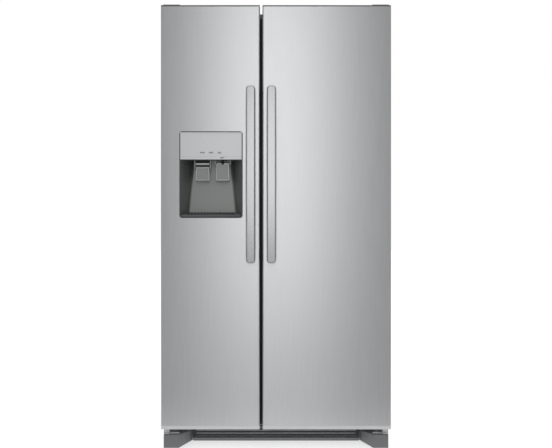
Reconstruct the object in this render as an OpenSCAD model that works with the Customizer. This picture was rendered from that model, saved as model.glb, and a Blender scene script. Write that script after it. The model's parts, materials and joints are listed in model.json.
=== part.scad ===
// Side by side refrigerator: freezer on the left, fresh food on the right, ice and water in the
// freezer door. Front is -Y, right is +X, and the origin is on the floor under the middle.

/* [Overall] */
// Width over the two doors
overall_w = 918; // [765:1:1102]
// Height to the top of the hinge covers
overall_h = 1775; // [1480:1:2130]
// Depth from the rear cover to the front of the handles
overall_d = 848; // [707:1:1018]

/* [Doors] */
// Width of the freezer door
freezer_door_w = 394.5; // [340:0.5:470]
// Gap between the two doors
door_gap = 10.5; // [6:0.5:16]
// Thickness of a door without its gasket
door_t = 66; // [56:1:80]
// Thickness of the magnetic gasket
gasket_t = 10; // [8:0.5:14]
// Height of a door's bottom edge above the floor
door_bottom = 79; // [76:1:100]
// Drop from the top of the hinge covers to the doors' top edge
door_top_drop = 6; // [4:1:12]
// How far a door stands out past the cabinet's side
door_overhang = 5; // [2:1:12]
// Radius of a door's front vertical edges
door_edge_r = 5; // [4:1:16]
// Height of the plastic cap under a door
bottom_cap_h = 14; // [10:1:24]
// Height of the plastic cap on top of a door
top_cap_h = 5; // [3:1:10]

/* [Hinges] */
// Distance of the hinge pins from the doors' outer sides
pin_inset = 24; // [18:1:30]
// Radius of the hinge pins
pin_r = 6; // [4:0.5:8]
// Radial clearance of every running fit
run_clear = 0.08; // [0.02:0.01:0.1]

/* [Cabinet] */
// Height of the hinge covers above the cabinet's top
hinge_cover_h = 27; // [23:1:36]
// Height of the cabinet's side panels above the floor
cab_bottom = 50; // [42:1:54]
// Steel sheet thickness
sheet_t = 1; // [0.6:0.1:1.6]
// Wall thickness of the plastic liners
liner_t = 2.5; // [1.5:0.1:4]
// Insulated side wall, outer skin to inner skin
wall_side = 50; // [42:1:62]
// Insulated top wall
wall_top = 52; // [44:1:70]
// Insulated back wall
wall_back = 60; // [50:1:80]
// Insulated wall between the freezer and the fresh food side
mullion_w = 50; // [44:1:60]
// Height of the compartment floors
floor_z = 140; // [128:1:160]
// Height of the machine compartment's roof
machine_h = 290; // [270:1:320]
// Depth of the machine compartment
machine_d = 205; // [195:1:240]

/* [Handles] */
// How far the handles stand out from the doors
handle_proj = 57; // [48:1:70]
// Width of a handle
handle_w = 36; // [26:1:44]
// Thickness of a handle's bar
handle_t = 17; // [12:1:20]
// Height of the handles' lower ends
handle_z0 = 742; // [600:1:800]
// Length of a handle
handle_len = 703; // [586:1:844]
// Distance of a handle's centre line from its door's meeting edge
handle_inset = 36; // [26:1:50]
// How far the middle of a handle bows out past its ends
handle_bow = 17; // [6:1:24]

/* [Dispenser] */
// Width of the dispenser
disp_w = 252; // [210:1:270]
// Drop from the doors' top edge to the dispenser's upper edge
disp_drop = 503; // [420:1:600]
// Height of the dispenser
disp_h = 345; // [280:1:410]
// Height of the control panel
panel_h = 112; // [96:1:124]
// Depth of the recess from the door's front
recess_d = 100; // [84:1:108]

/* [Inside] */
// How far the drawers and shelves stand back from the cabinet's front
shelf_setback = 116; // [108:1:140]
// Depth of the door bins
bin_d = 108; // [80:1:112]
// Height of the door bins
bin_h = 105; // [80:1:120]
// Height of a drawer
drawer_h = 165; // [130:1:174]

/* [Feet] */
// Radius of a levelling foot
foot_r = 16; // [12:1:20]
// Radius of the rear rollers
roller_r = 19; // [16:1:21]

/* [Hidden] */
$fn = 48;

// Colours
STEEL = "#b9bbbd";
CABINET_GREY = "#8f9294";
LINER = "#f2f3f2";
TRIM = "#8b8e90";
DARK = "#2b2d2e";
BLACK = "#151617";
CLEAR = "#d5e4ea";
FOAM = "#e8d9a8";
COPPER = "#b87333";

// A cut runs this far past the face that it opens
CUT = 1;

// Cabinet
half_w = overall_w / 2;
cab_hw = half_w - door_overhang;
cab_top = overall_h - hinge_cover_h;
rear_proud = 6;
back_y = overall_d / 2;
cab_back = back_y - rear_proud;
door_front = -overall_d / 2 + handle_proj;
door_back = door_front + door_t;
cab_front = door_back + gasket_t;
door_top = overall_h - door_top_drop;
corner_r = 6;
flange_w = 18;
foam_z0 = 85;
gap_x = -half_w + freezer_door_w + door_gap / 2;

// Compartments, as low and high corners of the free space
fz_x0 = -cab_hw + wall_side;
fz_x1 = gap_x - mullion_w / 2;
fr_x0 = gap_x + mullion_w / 2;
fr_x1 = cab_hw - wall_side;
cav_z1 = cab_top - wall_top;
cav_y1 = cab_back - wall_back;
cav_r = 16;
// The machine compartment's wall steps up into the bottom rear of both compartments
machine_y = cab_back - machine_d;
step_y = machine_y - wall_back + 20;
step_z = machine_h + wall_back - 20;
mullion_cover_w = 36;

// Door edges
fz_door = [-half_w, -half_w + freezer_door_w];
fr_door = [fz_door[1] + door_gap, half_w];
// Hinge axes
pin_x = half_w - pin_inset;
pin_y = (door_front + door_back) / 2;
hinge_plate_t = 6;
bottom_plate_z = 62;
// Gap between the bottom hinge's bushing and the door
bushing_gap = 0.5;
plug_h = 24;
pin_depth = 20;
// The gasket stands in from the door's edges by these amounts
gasket_hinge_in = pin_inset + 2;
gasket_latch_in = 4;
gasket_w = 14;
gasket_z = [door_bottom + 21, cab_top - flange_w - 8];
// The door ribs that hold the bins
rib_w = 26;
rib_d = 60;
rib_gap = 5;
rib_z = [floor_z + 8, cav_z1 - 10];
fz_rib = [fz_x0 + rib_gap, fz_x1 - rib_gap];
fr_rib = [fr_x0 + rib_gap, fr_x1 - rib_gap];

// Dispenser
// The dispenser sits this far towards the handle from the door's middle
disp_shift = 2.75;
disp_c = (fz_door[0] + fz_door[1]) / 2 + disp_shift;
disp_x0 = disp_c - disp_w / 2;
disp_x1 = disp_c + disp_w / 2;
disp_top = door_top - disp_drop;
disp_z = disp_top - disp_h;
panel_z = disp_top - panel_h;
bezel_t = 3.5;
bezel_proud = 1.5;
bezel_r = 11;
// The moulding's square corners start this far behind the door's front
behind_skin = sheet_t + 0.5;
recess_back = door_front + recess_d;
housing_wall = 3;
bulge_wall = 22;
bulge_in = 12;
// Low and high corners of the bulge on the door's inside, kept between the ribs' outer sides
bulge = [
  [max(disp_x0 + bulge_in, fz_rib[0]), disp_z - 14],
  [min(disp_x1 - bulge_in, fz_rib[1]), disp_top - 3]
];
bulge_back = recess_back + housing_wall + bulge_wall;
panel_t = 22;
ice_x = disp_c - 37;
water_x = disp_c + 44;
paddle_y = door_front + 58;
// Heights of the two paddles' pins, and of both paddles' feet
ice_paddle_z = panel_z - 28;
water_paddle_z = panel_z - 12;
paddle_foot = panel_z - 82;
paddle_t = 4;
ice_paddle_half = 29;
water_paddle_half = 28;
barrel_r = 4;
ear_t = 4;
ear_gap = 0.5;
paddle_pin_r = 2;
chute_w = 56;
chute_wall = 2;
// The chute's lower end shows under the recess's roof
chute_low = panel_z - 18;
chute_y = [door_front + 50, door_front + 95];
chute_top = disp_top + 21;
chute_seat = chute_top - 22;
// Top of the chute's body inside the door
chute_body_top = chute_seat + 4;
// The recess's mouth, and its back at the foot and at the head, as half widths
recess_mouth = disp_w / 2 - bezel_t;
recess_low = recess_mouth - 23;
recess_high = recess_mouth - 44;
// The recess's front edge is this far before the door, and its floor climbs this much to the back
recess_lead = 3;
recess_rise = 16;
// Drip tray
tray_front = door_front + 3;
tray_len = 74;
tray_t = 7;
tray_rim = 3;
tray_gap = 2.5;
tray_slots = 15;
// Three buttons, as distances from the dispenser's centre line
BUTTON_X = [-34, 0, 33];
button_w = 17;
button_h = 8;
button_z = panel_z + 27;
button_flange = 2;
chute_mouth_y = cab_front + 84;

// Shelves and drawers
shelf_y = cab_front + shelf_setback;
shelf_t = 12;
shelf_ledge = 14;
glass_t = 4;
glass_gap = 0.3;
shelf_side = 2;
crisper_shelf = floor_z + drawer_h + 17;
cover_shelf = crisper_shelf + drawer_h + 18;
shelf_span = (cav_z1 - cover_shelf) / 4;
fridge_shelves = [cover_shelf + shelf_span, cover_shelf + 2 * shelf_span, cover_shelf + 3 * shelf_span];
basket_h = drawer_h - 10;
ice_z = chute_top + 6;
ice_h = 185;
fz_low = max(floor_z + basket_h + 30, step_z + liner_t + 6);
fz_high = ice_z - shelf_t - 6;
freezer_shelves = [fz_low, fz_low + (fz_high - fz_low) / 3, fz_low + (fz_high - fz_low) * 2 / 3, fz_high];
evap_gap = 56;
evap_t = 3;
evap_y = cav_y1 - evap_gap;
// A drawer clears the round lower edges of its compartment
drawer_side = cav_r - 4;
drawer_wall = 2.5;
drawer_rise = 2;
drawer_lip = 8;
bin_wall = 2;

// Water filter, behind the swing of the dairy lid
filter_y = cab_front + 230;
filter_len = 210;
// Dairy compartment
dairy_h = 130;
dairy_z = rib_z[1] - rib_w - dairy_h - 12;
dairy_t = 2;
lid_y = door_back + bin_d;

// Ice maker, ice bin and auger
ice_bin_x = [disp_c - 84, disp_c + 117];
ice_bin_y = [cab_front + 36, evap_y - 110];
auger_z = ice_z + 30;
auger_r = 22;
maker_z = ice_z + ice_h + 60;
maker_h = 84;
maker_x = [fz_x0 + 34, fz_x1 - 34];
maker_y = [shelf_y + 60, evap_y - 140];
arm_r = 2;
arm_gap = 0.2;

// Machine compartment and fans
fan_hub_r = 16;
fan_blade_h = 44;
fan_room_r = fan_hub_r + fan_blade_h;
cond_fan_z = 165;
cond_fan_y = machine_y + 90;
evap_fan_x = (fz_x0 + fz_x1) / 2;
evap_top = fz_high - 14;
evap_fan_z = evap_top - evap_t - fan_room_r - 3;
compressor_x = cab_hw - 204;
compressor_half = 74;
coil_rows = 6;
coil_run = 250;
coil_r = 4;

// Base
rail_w = 44;
rail_t = 3;
rail_x = cab_hw - 7 - rail_w;
rail_z = 24;
// Condenser, its drain pan, and its fan between the pan and the compressor
coil_x0 = -rail_x + 25;
pan_x = [coil_x0 - 20, coil_x0 + coil_run + 20];
cond_fan_x = (pan_x[1] + compressor_x - compressor_half) / 2;
rail_front = cab_front + 41;
rail_back = cab_back - 18;
roller_w = 24;
roller_y = cab_back - 68;
axle_r = 4;
leg_x = pin_x - 15;
leg_y = cab_front + 16;
stud_r = 5;
foot_h = 9;
cover_front = door_front + 12;
cover_depth = 98;
cover_x = half_w - 10;
cover_w = 59;
cover_slant = 50;
cover_z = [2, 55];
cover_rise = 13;
cover_wall = 2.5;
leg_hole = 3;
grille_y = door_front + 92;
grille_x = cover_x - cover_w - cover_slant - 1.5;
grille_z = [14, 76];

// A box between two corners
module span(lo, hi) {
  translate(lo) cube(hi - lo);
}

// A box between two corners whose four edges along Y are round
module span_y(lo, hi, r) {
  span([lo[0] + r, lo[1], lo[2]], [hi[0] - r, hi[1], hi[2]]);
  span([lo[0], lo[1], lo[2] + r], [hi[0], hi[1], hi[2] - r]);
  for (x = [lo[0] + r, hi[0] - r], z = [lo[2] + r, hi[2] - r])
    translate([x, lo[1], z]) rotate([-90, 0, 0]) cylinder(r = r, h = hi[1] - lo[1]);
}

// A door-shaped block: full width at the back, round vertical edges at the front
module door_block(xs, y0, y1, z0, z1, r) {
  span([xs[0], y0 + r, z0], [xs[1], y1, z1]);
  span([xs[0] + r, y0, z0], [xs[1] - r, y1, z1]);
  for (x = [xs[0] + r, xs[1] - r])
    translate([x, y0 + r, z0]) cylinder(r = r, h = z1 - z0);
}

// An open-topped tray with walls of one thickness
module tray(lo, hi, wall) {
  difference() {
    span(lo, hi);
    span(lo + [wall, wall, wall], [hi[0] - wall, hi[1] - wall, hi[2] + CUT]);
  }
}

// A round rod between two points that differ along one axis or more
module rod(a, b, r) {
  v = b - a;
  len = norm(v);
  translate(a) rotate([0, acos(v[2] / len), atan2(v[1], v[0])]) cylinder(r = r, h = len);
}

// ---- Cabinet ----

module shell_block(inset, y0, y1) {
  difference() {
    span_y([-cab_hw + inset, y0, cab_bottom - 40], [cab_hw - inset, y1, cab_top - inset], corner_r - inset);
    span([-cab_hw - CUT, y0 - CUT, cab_bottom - 50], [cab_hw + CUT, y1 + CUT, cab_bottom]);
  }
}

module outer_shell() {
  color(CABINET_GREY) {
    difference() {
      shell_block(0, cab_front, cab_back);
      shell_block(sheet_t, cab_front + sheet_t, cab_back + CUT);
      span([-cab_hw + flange_w, cab_front - CUT, cab_bottom - CUT],
        [cab_hw - flange_w, cab_front + 5, cab_top - flange_w]);
      // The flange stops where the foam does, above the hinge plates and leg covers
      span([-cab_hw + sheet_t, cab_front - CUT, cab_bottom - CUT],
        [cab_hw - sheet_t, cab_front + 5, foam_z0]);
    }
  }
}

module back_panel() {
  color(CABINET_GREY)
    span([-cab_hw + sheet_t, cab_back - sheet_t, machine_h],
      [cab_hw - sheet_t, cab_back, cab_top - corner_r]);
}

// The free space of a compartment, grown by g on every side but the front
module cavity(x0, x1, g) {
  difference() {
    span_y([x0 - g, cab_front - CUT, floor_z - g], [x1 + g, cav_y1 + g, cav_z1 + g], cav_r);
    span([x0 - 50, step_y - liner_t + g, floor_z - 50], [x1 + 50, cav_y1 + 50, step_z + liner_t - g]);
  }
}

module liner(x0, x1, flange_x0, flange_x1) {
  difference() {
    union() {
      intersection() {
        cavity(x0, x1, liner_t);
        span([x0 - 50, cab_front, floor_z - 50], [x1 + 50, cab_back, cav_z1 + 50]);
      }
      span([flange_x0, cab_front, foam_z0], [flange_x1, cab_front + liner_t, cab_top - flange_w]);
    }
    cavity(x0, x1, 0);
  }
}

module freezer_liner() {
  color(LINER) liner(fz_x0, fz_x1, -cab_hw + flange_w, gap_x - mullion_cover_w / 2);
}

module fridge_liner() {
  color(LINER) liner(fr_x0, fr_x1, gap_x + mullion_cover_w / 2, cab_hw - flange_w);
}

module mullion_cover() {
  color(CABINET_GREY)
    span([gap_x - mullion_cover_w / 2, cab_front, foam_z0],
      [gap_x + mullion_cover_w / 2, cab_front + liner_t, cab_top - flange_w]);
}

module cabinet_foam() {
  color(FOAM) difference() {
    span([-cab_hw + sheet_t, cab_front + liner_t, foam_z0],
      [cab_hw - sheet_t, cab_back - sheet_t, cab_top - corner_r]);
    cavity(fz_x0, fz_x1, liner_t);
    cavity(fr_x0, fr_x1, liner_t);
    span([-cab_hw, machine_y, foam_z0 - CUT], [cab_hw, cab_back, machine_h]);
  }
}

// ---- Base ----

module rail(side) {
  x0 = side > 0 ? rail_x : -rail_x - rail_w;
  difference() {
    span([x0, rail_front, rail_z], [x0 + rail_w, rail_back, foam_z0 - sheet_t]);
    span([x0 + rail_t, rail_front - CUT, rail_z - CUT],
      [x0 + rail_w - rail_t, rail_back + CUT, foam_z0 - rail_t]);
  }
  rod([x0, roller_y, roller_r], [x0 + rail_w, roller_y, roller_r], axle_r);
  // Ears that carry the roller's axle below the rail
  for (x = [x0, x0 + rail_w - rail_t])
    span([x, roller_y - 9, roller_r - 8], [x + rail_t, roller_y + 9, rail_z + 5]);
}

module base_frame() {
  color(CABINET_GREY) {
    rail(1);
    rail(-1);
    // Deck under the foam
    span([-cab_hw + sheet_t, cab_front + 5, foam_z0 - sheet_t], [cab_hw - sheet_t, machine_y, foam_z0]);
    // Front cross member
    span([-rail_x, rail_front, 32], [rail_x, rail_front + rail_t, foam_z0 - sheet_t]);
    // Floor of the machine compartment
    span([-rail_x, machine_y + 3, 50], [rail_x, rail_back, 52]);
    // Upright that joins the machine floor to the deck
    span([-rail_x, machine_y, 50], [rail_x, machine_y + 3, foam_z0]);
  }
}

module toe_grille() {
  bar_h = 12;
  slot_h = 5;
  slot_pitch = 12;
  color(BLACK) difference() {
    span([-grille_x, grille_y, grille_z[0]], [grille_x, grille_y + 13, grille_z[1]]);
    // Hollow behind the louvres
    span([-grille_x + 3, grille_y + 3, grille_z[0] + bar_h],
      [grille_x - 3, grille_y + 13 + CUT, grille_z[1] - 3]);
    for (i = [0:3])
      span([-grille_x + 12, grille_y - CUT, grille_z[0] + bar_h + 4 + i * slot_pitch],
        [grille_x - 12, grille_y + 4, grille_z[0] + bar_h + 4 + slot_h + i * slot_pitch]);
  }
}

// Plan of the left leg cover, drawn in from its outside by g, and open at the back when g is used as a cut
module cover_plan(g, past) {
  polygon([
    [-cover_x + g, cover_front + g],
    [-cover_x + cover_w - g * 0.4, cover_front + g],
    [-cover_x + cover_w + cover_slant - g * 1.6, cover_front + cover_depth + past],
    [-cover_x + g, cover_front + cover_depth + past]
  ]);
}

module leg_cover() {
  toe_x = -cover_x + cover_w;
  difference() {
    translate([0, 0, cover_z[0]]) linear_extrude(cover_z[1] - cover_z[0]) cover_plan(0, 0);
    translate([0, 0, cover_z[0] - CUT]) linear_extrude(cover_z[1] - cover_z[0] + CUT - cover_wall)
      cover_plan(cover_wall, CUT);
    // The slanted side's lower edge climbs towards the back
    translate([0, cover_front + cover_depth + 2, 0]) rotate([90, 0, 0])
      linear_extrude(cover_depth + 4)
        polygon([[toe_x, 0], [toe_x + cover_slant + 5, 0], [toe_x + cover_slant + 5, cover_rise + cover_z[0]],
          [toe_x, cover_z[0]]]);
    // The levelling leg passes through the top
    translate([-leg_x, leg_y, cover_z[0]]) cylinder(r = stud_r + leg_hole, h = cover_z[1]);
  }
}

module leg_covers() {
  color(TRIM) {
    leg_cover();
    mirror([1, 0, 0]) leg_cover();
  }
}

module levelling_leg(x) {
  translate([x, leg_y, 0]) {
    cylinder(r = foot_r, h = foot_h);
    cylinder(r = stud_r, h = bottom_plate_z + 14);
    // Hexagon for a spanner
    translate([0, 0, foot_h]) cylinder(r = 11, h = 8, $fn = 6);
  }
}

module levelling_leg_left() {
  color(DARK) levelling_leg(-leg_x);
}

module levelling_leg_right() {
  color(DARK) levelling_leg(leg_x);
}

module rear_rollers() {
  color(DARK)
    for (x = [-rail_x - rail_w / 2, rail_x + rail_w / 2])
      translate([x - roller_w / 2, roller_y, roller_r]) rotate([0, 90, 0]) difference() {
        cylinder(r = roller_r, h = roller_w);
        translate([0, 0, -CUT]) cylinder(r = axle_r + run_clear, h = roller_w + 2 * CUT);
      }
}

// ---- Hinges ----

module top_hinge() {
  plate_z = door_top + 1;
  difference() {
    union() {
      // Foot screwed to the cabinet's top
      span([pin_x - 44, cab_front + 12, cab_top], [pin_x + 10, cab_front + 100, cab_top + hinge_plate_t]);
      // Riser and arm over the door
      span([pin_x - 44, cab_front + 8, cab_top], [pin_x + 10, cab_front + 12, plate_z + 3]);
      span([pin_x - 16, pin_y, plate_z], [pin_x + 10, cab_front + 12, plate_z + 3]);
      translate([pin_x - 3, pin_y, plate_z]) cylinder(r = 13, h = 3);
      translate([pin_x, pin_y, door_top - pin_depth]) cylinder(r = pin_r, h = pin_depth + 3);
    }
    for (y = [cab_front + 34, cab_front + 78])
      translate([pin_x - 17, y, cab_top - CUT]) cylinder(r = 3.5, h = hinge_plate_t + 2 * CUT);
  }
}

module top_hinges() {
  color(STEEL) {
    top_hinge();
    mirror([1, 0, 0]) top_hinge();
  }
}

module hinge_cover() {
  wall = 1.5;
  y1 = cab_front + 108;
  difference() {
    span([pin_x - 50, pin_y - 17, door_top + 0.6], [pin_x + 17, cab_front + 6, overall_h]);
    span([pin_x - 50 + wall, pin_y - 17 + wall, door_top - CUT],
      [pin_x + 17 - wall, cab_front + 6 + CUT, overall_h - wall]);
  }
  difference() {
    span([pin_x - 50, cab_front + 4, cab_top], [pin_x + 17, y1, overall_h]);
    span([pin_x - 50 + wall, cab_front - CUT, cab_top - CUT],
      [pin_x + 17 - wall, y1 - wall, overall_h - wall]);
  }
}

module hinge_covers() {
  color(TRIM) {
    hinge_cover();
    mirror([1, 0, 0]) hinge_cover();
  }
}

module bottom_hinge() {
  difference() {
    union() {
      span([pin_x - 48, pin_y - 8, bottom_plate_z - hinge_plate_t], [pin_x + 15, rail_front, bottom_plate_z]);
      translate([pin_x, pin_y, bottom_plate_z - hinge_plate_t]) cylinder(r = 15, h = hinge_plate_t);
      translate([pin_x, pin_y, bottom_plate_z])
        cylinder(r = 11, h = door_bottom - bottom_plate_z - bushing_gap);
      translate([pin_x, pin_y, bottom_plate_z])
        cylinder(r = pin_r, h = door_bottom - bottom_plate_z + pin_depth);
      // Tab screwed to the rail's front
      span([pin_x - 40, rail_front - 4, bottom_plate_z - hinge_plate_t - 20],
        [pin_x + 6, rail_front, bottom_plate_z]);
    }
    translate([leg_x, leg_y, bottom_plate_z - hinge_plate_t - CUT])
      cylinder(r = stud_r + run_clear, h = hinge_plate_t + 2 * CUT);
  }
}

module bottom_hinges() {
  color(STEEL) {
    bottom_hinge();
    mirror([1, 0, 0]) bottom_hinge();
  }
}

// ---- Machine compartment ----

module compressor() {
  color(BLACK) translate([compressor_x, machine_y + 104, 52]) {
    // Rubber feet and base plate
    for (x = [-62, 62], y = [-44, 44])
      translate([x, y, 0]) cylinder(r = 9, h = 16);
    translate([-compressor_half, -56, 16]) cube([2 * compressor_half, 112, 4]);
    translate([0, 0, 20]) cylinder(r = 62, h = 96);
    translate([0, 0, 116]) cylinder(r1 = 62, r2 = 34, h = 30);
    // Terminal cover
    translate([56, -24, 52]) cube([22, 48, 40]);
    // Suction stub
    translate([-58, 0, 120]) cylinder(r = 5, h = 30);
  }
}

module condenser_coil() {
  pitch = 28;
  color(COPPER)
    for (row = [0:coil_rows - 1])
      translate([coil_x0, machine_y + 60, 84 + row * pitch]) {
        rod([0, 0, 0], [coil_run, 0, 0], coil_r);
        if (row < coil_rows - 1)
          rod([row % 2 == 0 ? coil_run : 0, 0, 0], [row % 2 == 0 ? coil_run : 0, 0, pitch], coil_r);
        translate([row % 2 == 0 ? coil_run : 0, 0, 0]) sphere(r = coil_r);
        translate([row % 2 == 0 ? 0 : coil_run, 0, 0]) sphere(r = coil_r);
      }
}

module drain_pan() {
  color(BLACK) tray([pan_x[0], machine_y + 22, 53], [pan_x[1], machine_y + 160, 74], 2);
}

module condenser_fan() {
  color(BLACK) translate([cond_fan_x, cond_fan_y, cond_fan_z]) fan();
}

// Hub on a Y axis with four pitched blades
module fan() {
  rotate([-90, 0, 0]) {
    cylinder(r = fan_hub_r, h = 20);
    for (a = [0:90:270])
      rotate([0, 0, a]) translate([fan_hub_r - 3, 0, 10]) rotate([28, 0, 0])
        translate([0, -14, -1]) cube([fan_blade_h, 28, 2]);
  }
}

module rear_cover() {
  edge = 8;
  color(DARK) difference() {
    union() {
      span([-cab_hw + edge, cab_back, 58], [cab_hw - edge, cab_back + 1.5, machine_h + 14]);
      // Shallow raised field that stands out to the full depth
      span([-cab_hw + 30, cab_back, 76], [cab_hw - 100, back_y, machine_h - 4]);
    }
    span([-cab_hw + 32, cab_back - CUT, 78], [cab_hw - 102, back_y - 1.5, machine_h - 6]);
    // Air slots
    for (x = [-cab_hw + 60:24:cab_hw - 140], z = [96, 186])
      span([x, cab_back - CUT, z], [x + 10, back_y + CUT, z + 70]);
    translate([cab_hw - 60, cab_back - CUT, 90]) rotate([-90, 0, 0]) cylinder(r = 9, h = 8);
  }
}

module power_inlet() {
  color(BLACK) translate([cab_hw - 60, cab_back - 3, 90]) rotate([-90, 0, 0]) difference() {
    union() {
      cylinder(r = 8.9, h = 8);
      translate([0, 0, 4.5]) cylinder(r = 12, h = 4.5);
      cylinder(r = 12, h = 3);
    }
    translate([0, 0, -CUT]) cylinder(r = 4.5, h = 12);
  }
}

// ---- Freezer side ----

module evaporator_cover() {
  x0 = fz_x0 + 1;
  x1 = fz_x1 - 1;
  z0 = step_z + liner_t + 1;
  z1 = evap_top;
  color(LINER) difference() {
    union() {
      span([x0, evap_y, z0], [x1, evap_y + evap_t, z1]);
      span([x0, evap_y, z1 - 3], [x1, cav_y1 - 1, z1]);
    }
    for (r = [18:12:42])
      translate([evap_fan_x, evap_y - CUT, evap_fan_z]) rotate([-90, 0, 0]) ring_slots(r, evap_t + 2 * CUT);
    for (i = [0:5])
      span([x0 + 60, evap_y - CUT, z0 + 20 + i * 14], [x1 - 60, evap_y + evap_t + CUT, z0 + 26 + i * 14]);
  }
}

// Four arcs of slot on a circle of radius r
module ring_slots(r, h) {
  difference() {
    cylinder(r = r + 3, h = h);
    translate([0, 0, -CUT]) cylinder(r = r - 3, h = h + 2 * CUT);
    for (a = [0, 90])
      rotate([0, 0, a]) translate([-r - 10, -4, -CUT]) cube([2 * r + 20, 8, h + 2 * CUT]);
  }
}

module evaporator_coil() {
  x0 = fz_x0 + 40;
  x1 = fz_x1 - 40;
  z0 = step_z + 40;
  fin_w = 2;
  color(STEEL) {
    for (i = [0:4])
      rod([x0 - 10, evap_y + 26, z0 + 20 + i * 60], [x1 + 10, evap_y + 26, z0 + 20 + i * 60], 4);
    for (x = [x0:12:x1])
      span([x, evap_y + 8, z0], [x + fin_w, evap_y + 44, z0 + 290]);
  }
}

module evaporator_fan() {
  color(BLACK) translate([evap_fan_x, evap_y + 16, evap_fan_z]) fan();
}

module ice_bin() {
  color(CLEAR) difference() {
    tray([ice_bin_x[0], ice_bin_y[0], ice_z], [ice_bin_x[1], ice_bin_y[1], ice_z + ice_h], drawer_wall);
    span([ice_x - 28, ice_bin_y[0] + 6, ice_z - CUT], [ice_x + 28, chute_mouth_y - 4, ice_z + 5]);
  }
}

module ice_auger() {
  y0 = ice_bin_y[0] + drawer_wall + 1;
  y1 = ice_bin_y[1] - drawer_wall - 1;
  color(STEEL) translate([ice_x, 0, auger_z]) {
    rod([0, y0, 0], [0, y1, 0], 5);
    for (i = [0:6])
      translate([0, y0 + 24 + i * (y1 - y0 - 48) / 6, 0]) rotate([0, i * 30, 0])
        translate([-auger_r, -2, -4]) cube([2 * auger_r, 4, 8]);
  }
}

module ice_maker() {
  pockets = 7;
  pitch = (maker_y[1] - maker_y[0] - 40) / pockets;
  color(LINER) {
    difference() {
      span([maker_x[0], maker_y[0], maker_z], [maker_x[1], maker_y[1], maker_z + maker_h]);
      // Mould pockets
      for (i = [0:pockets - 1])
        span([maker_x[0] + 20, maker_y[0] + 20 + i * pitch, maker_z + 40],
          [maker_x[1] - 70, maker_y[0] + 16 + (i + 1) * pitch, maker_z + maker_h + CUT]);
    }
    // Hanger on the liner's wall
    span([maker_x[1], maker_y[0] + 40, maker_z + 30], [fz_x1, maker_y[1] - 40, maker_z + 60]);
  }
}

// Wire arm that feels how full the ice bin is
module ice_arm() {
  x0 = maker_x[0] - 8;
  x1 = maker_x[1] + 8;
  y = maker_y[0] + 22;
  z = maker_z + 22;
  drop = 74;
  color(STEEL) {
    // Stub axles that end just short of the ice maker's sides
    for (s = [[x0 - arm_r, maker_x[0] - arm_gap], [maker_x[1] + arm_gap, x1 + arm_r]])
      rod([s[0], y, z], [s[1], y, z], arm_r);
    for (x = [x0, x1])
      rod([x, y, z], [x, y, z - drop], arm_r);
    rod([x0 - arm_r, y, z - drop], [x1 + arm_r, y, z - drop], arm_r);
  }
}

// ---- Shelves, drawers and fittings ----

module shelf_ring(x0, x1, y1, z) {
  difference() {
    span([x0 + shelf_side, shelf_y, z], [x1 - shelf_side, y1, z + shelf_t]);
    span([x0 + shelf_side + shelf_ledge, shelf_y + shelf_ledge, z - CUT],
      [x1 - shelf_side - shelf_ledge, y1 - shelf_ledge, z + shelf_t + CUT]);
    span([x0 + shelf_side + shelf_ledge - 4, shelf_y + shelf_ledge - 4, z + shelf_t - glass_t - 0.5],
      [x1 - shelf_side - shelf_ledge + 4, y1 - shelf_ledge + 4, z + shelf_t + CUT]);
  }
}

module shelf_pane(x0, x1, y1, z) {
  in = shelf_ledge - 4 + glass_gap;
  span([x0 + shelf_side + in, shelf_y + in, z + shelf_t - glass_t - 0.5],
    [x1 - shelf_side - in, y1 - in, z + shelf_t - 0.5]);
}

module shelf_frames() {
  color(LINER) {
    for (z = fridge_shelves)
      shelf_ring(fr_x0, fr_x1, cav_y1 - 6, z);
    shelf_ring(fr_x0, fr_x1, cav_y1 - 6, cover_shelf);
    shelf_ring(fr_x0, fr_x1, step_y - liner_t - 2, crisper_shelf);
    for (z = freezer_shelves)
      shelf_ring(fz_x0, fz_x1, evap_y - 4, z);
  }
}

module shelf_glass() {
  color(CLEAR, 0.4) {
    for (z = fridge_shelves)
      shelf_pane(fr_x0, fr_x1, cav_y1 - 6, z);
    shelf_pane(fr_x0, fr_x1, cav_y1 - 6, cover_shelf);
    shelf_pane(fr_x0, fr_x1, step_y - liner_t - 2, crisper_shelf);
    for (z = freezer_shelves)
      shelf_pane(fz_x0, fz_x1, evap_y - 4, z);
  }
}

// An open-topped drawer with a finger lip along the top of its front
module drawer(x0, x1, z, h) {
  tray([x0 + drawer_side, shelf_y, z], [x1 - drawer_side, step_y - liner_t - 10, z + h], drawer_wall);
  span([x0 + drawer_side, shelf_y - drawer_lip, z + h - 22], [x1 - drawer_side, shelf_y, z + h - 16]);
  span([x0 + drawer_side, shelf_y - drawer_lip, z + h - 22], [x1 - drawer_side, shelf_y - 5, z + h]);
}

module upper_crisper() {
  color(CLEAR, 0.5) drawer(fr_x0, fr_x1, crisper_shelf + shelf_t + drawer_rise, drawer_h);
}

module lower_crisper() {
  color(CLEAR, 0.5) drawer(fr_x0, fr_x1, floor_z + drawer_rise, drawer_h);
}

module freezer_basket() {
  color(LINER) difference() {
    drawer(fz_x0, fz_x1, floor_z + drawer_rise, basket_h);
    // Air slots through both sides
    for (y = [shelf_y + 24:36:step_y - 50])
      span([fz_x0, y, floor_z + 30], [fz_x1, y + 14, floor_z + basket_h - 40]);
  }
}

module light_lenses() {
  color(CLEAR, 0.8) {
    for (c = [(fz_x0 + fz_x1) / 2, (fr_x0 + fr_x1) / 2])
      difference() {
        span([c - 55, cab_front + 190, cav_z1 - 16], [c + 55, cab_front + 260, cav_z1]);
        span([c - 53, cab_front + 192, cav_z1 - 14], [c + 53, cab_front + 258, cav_z1 + CUT]);
      }
  }
}

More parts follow.
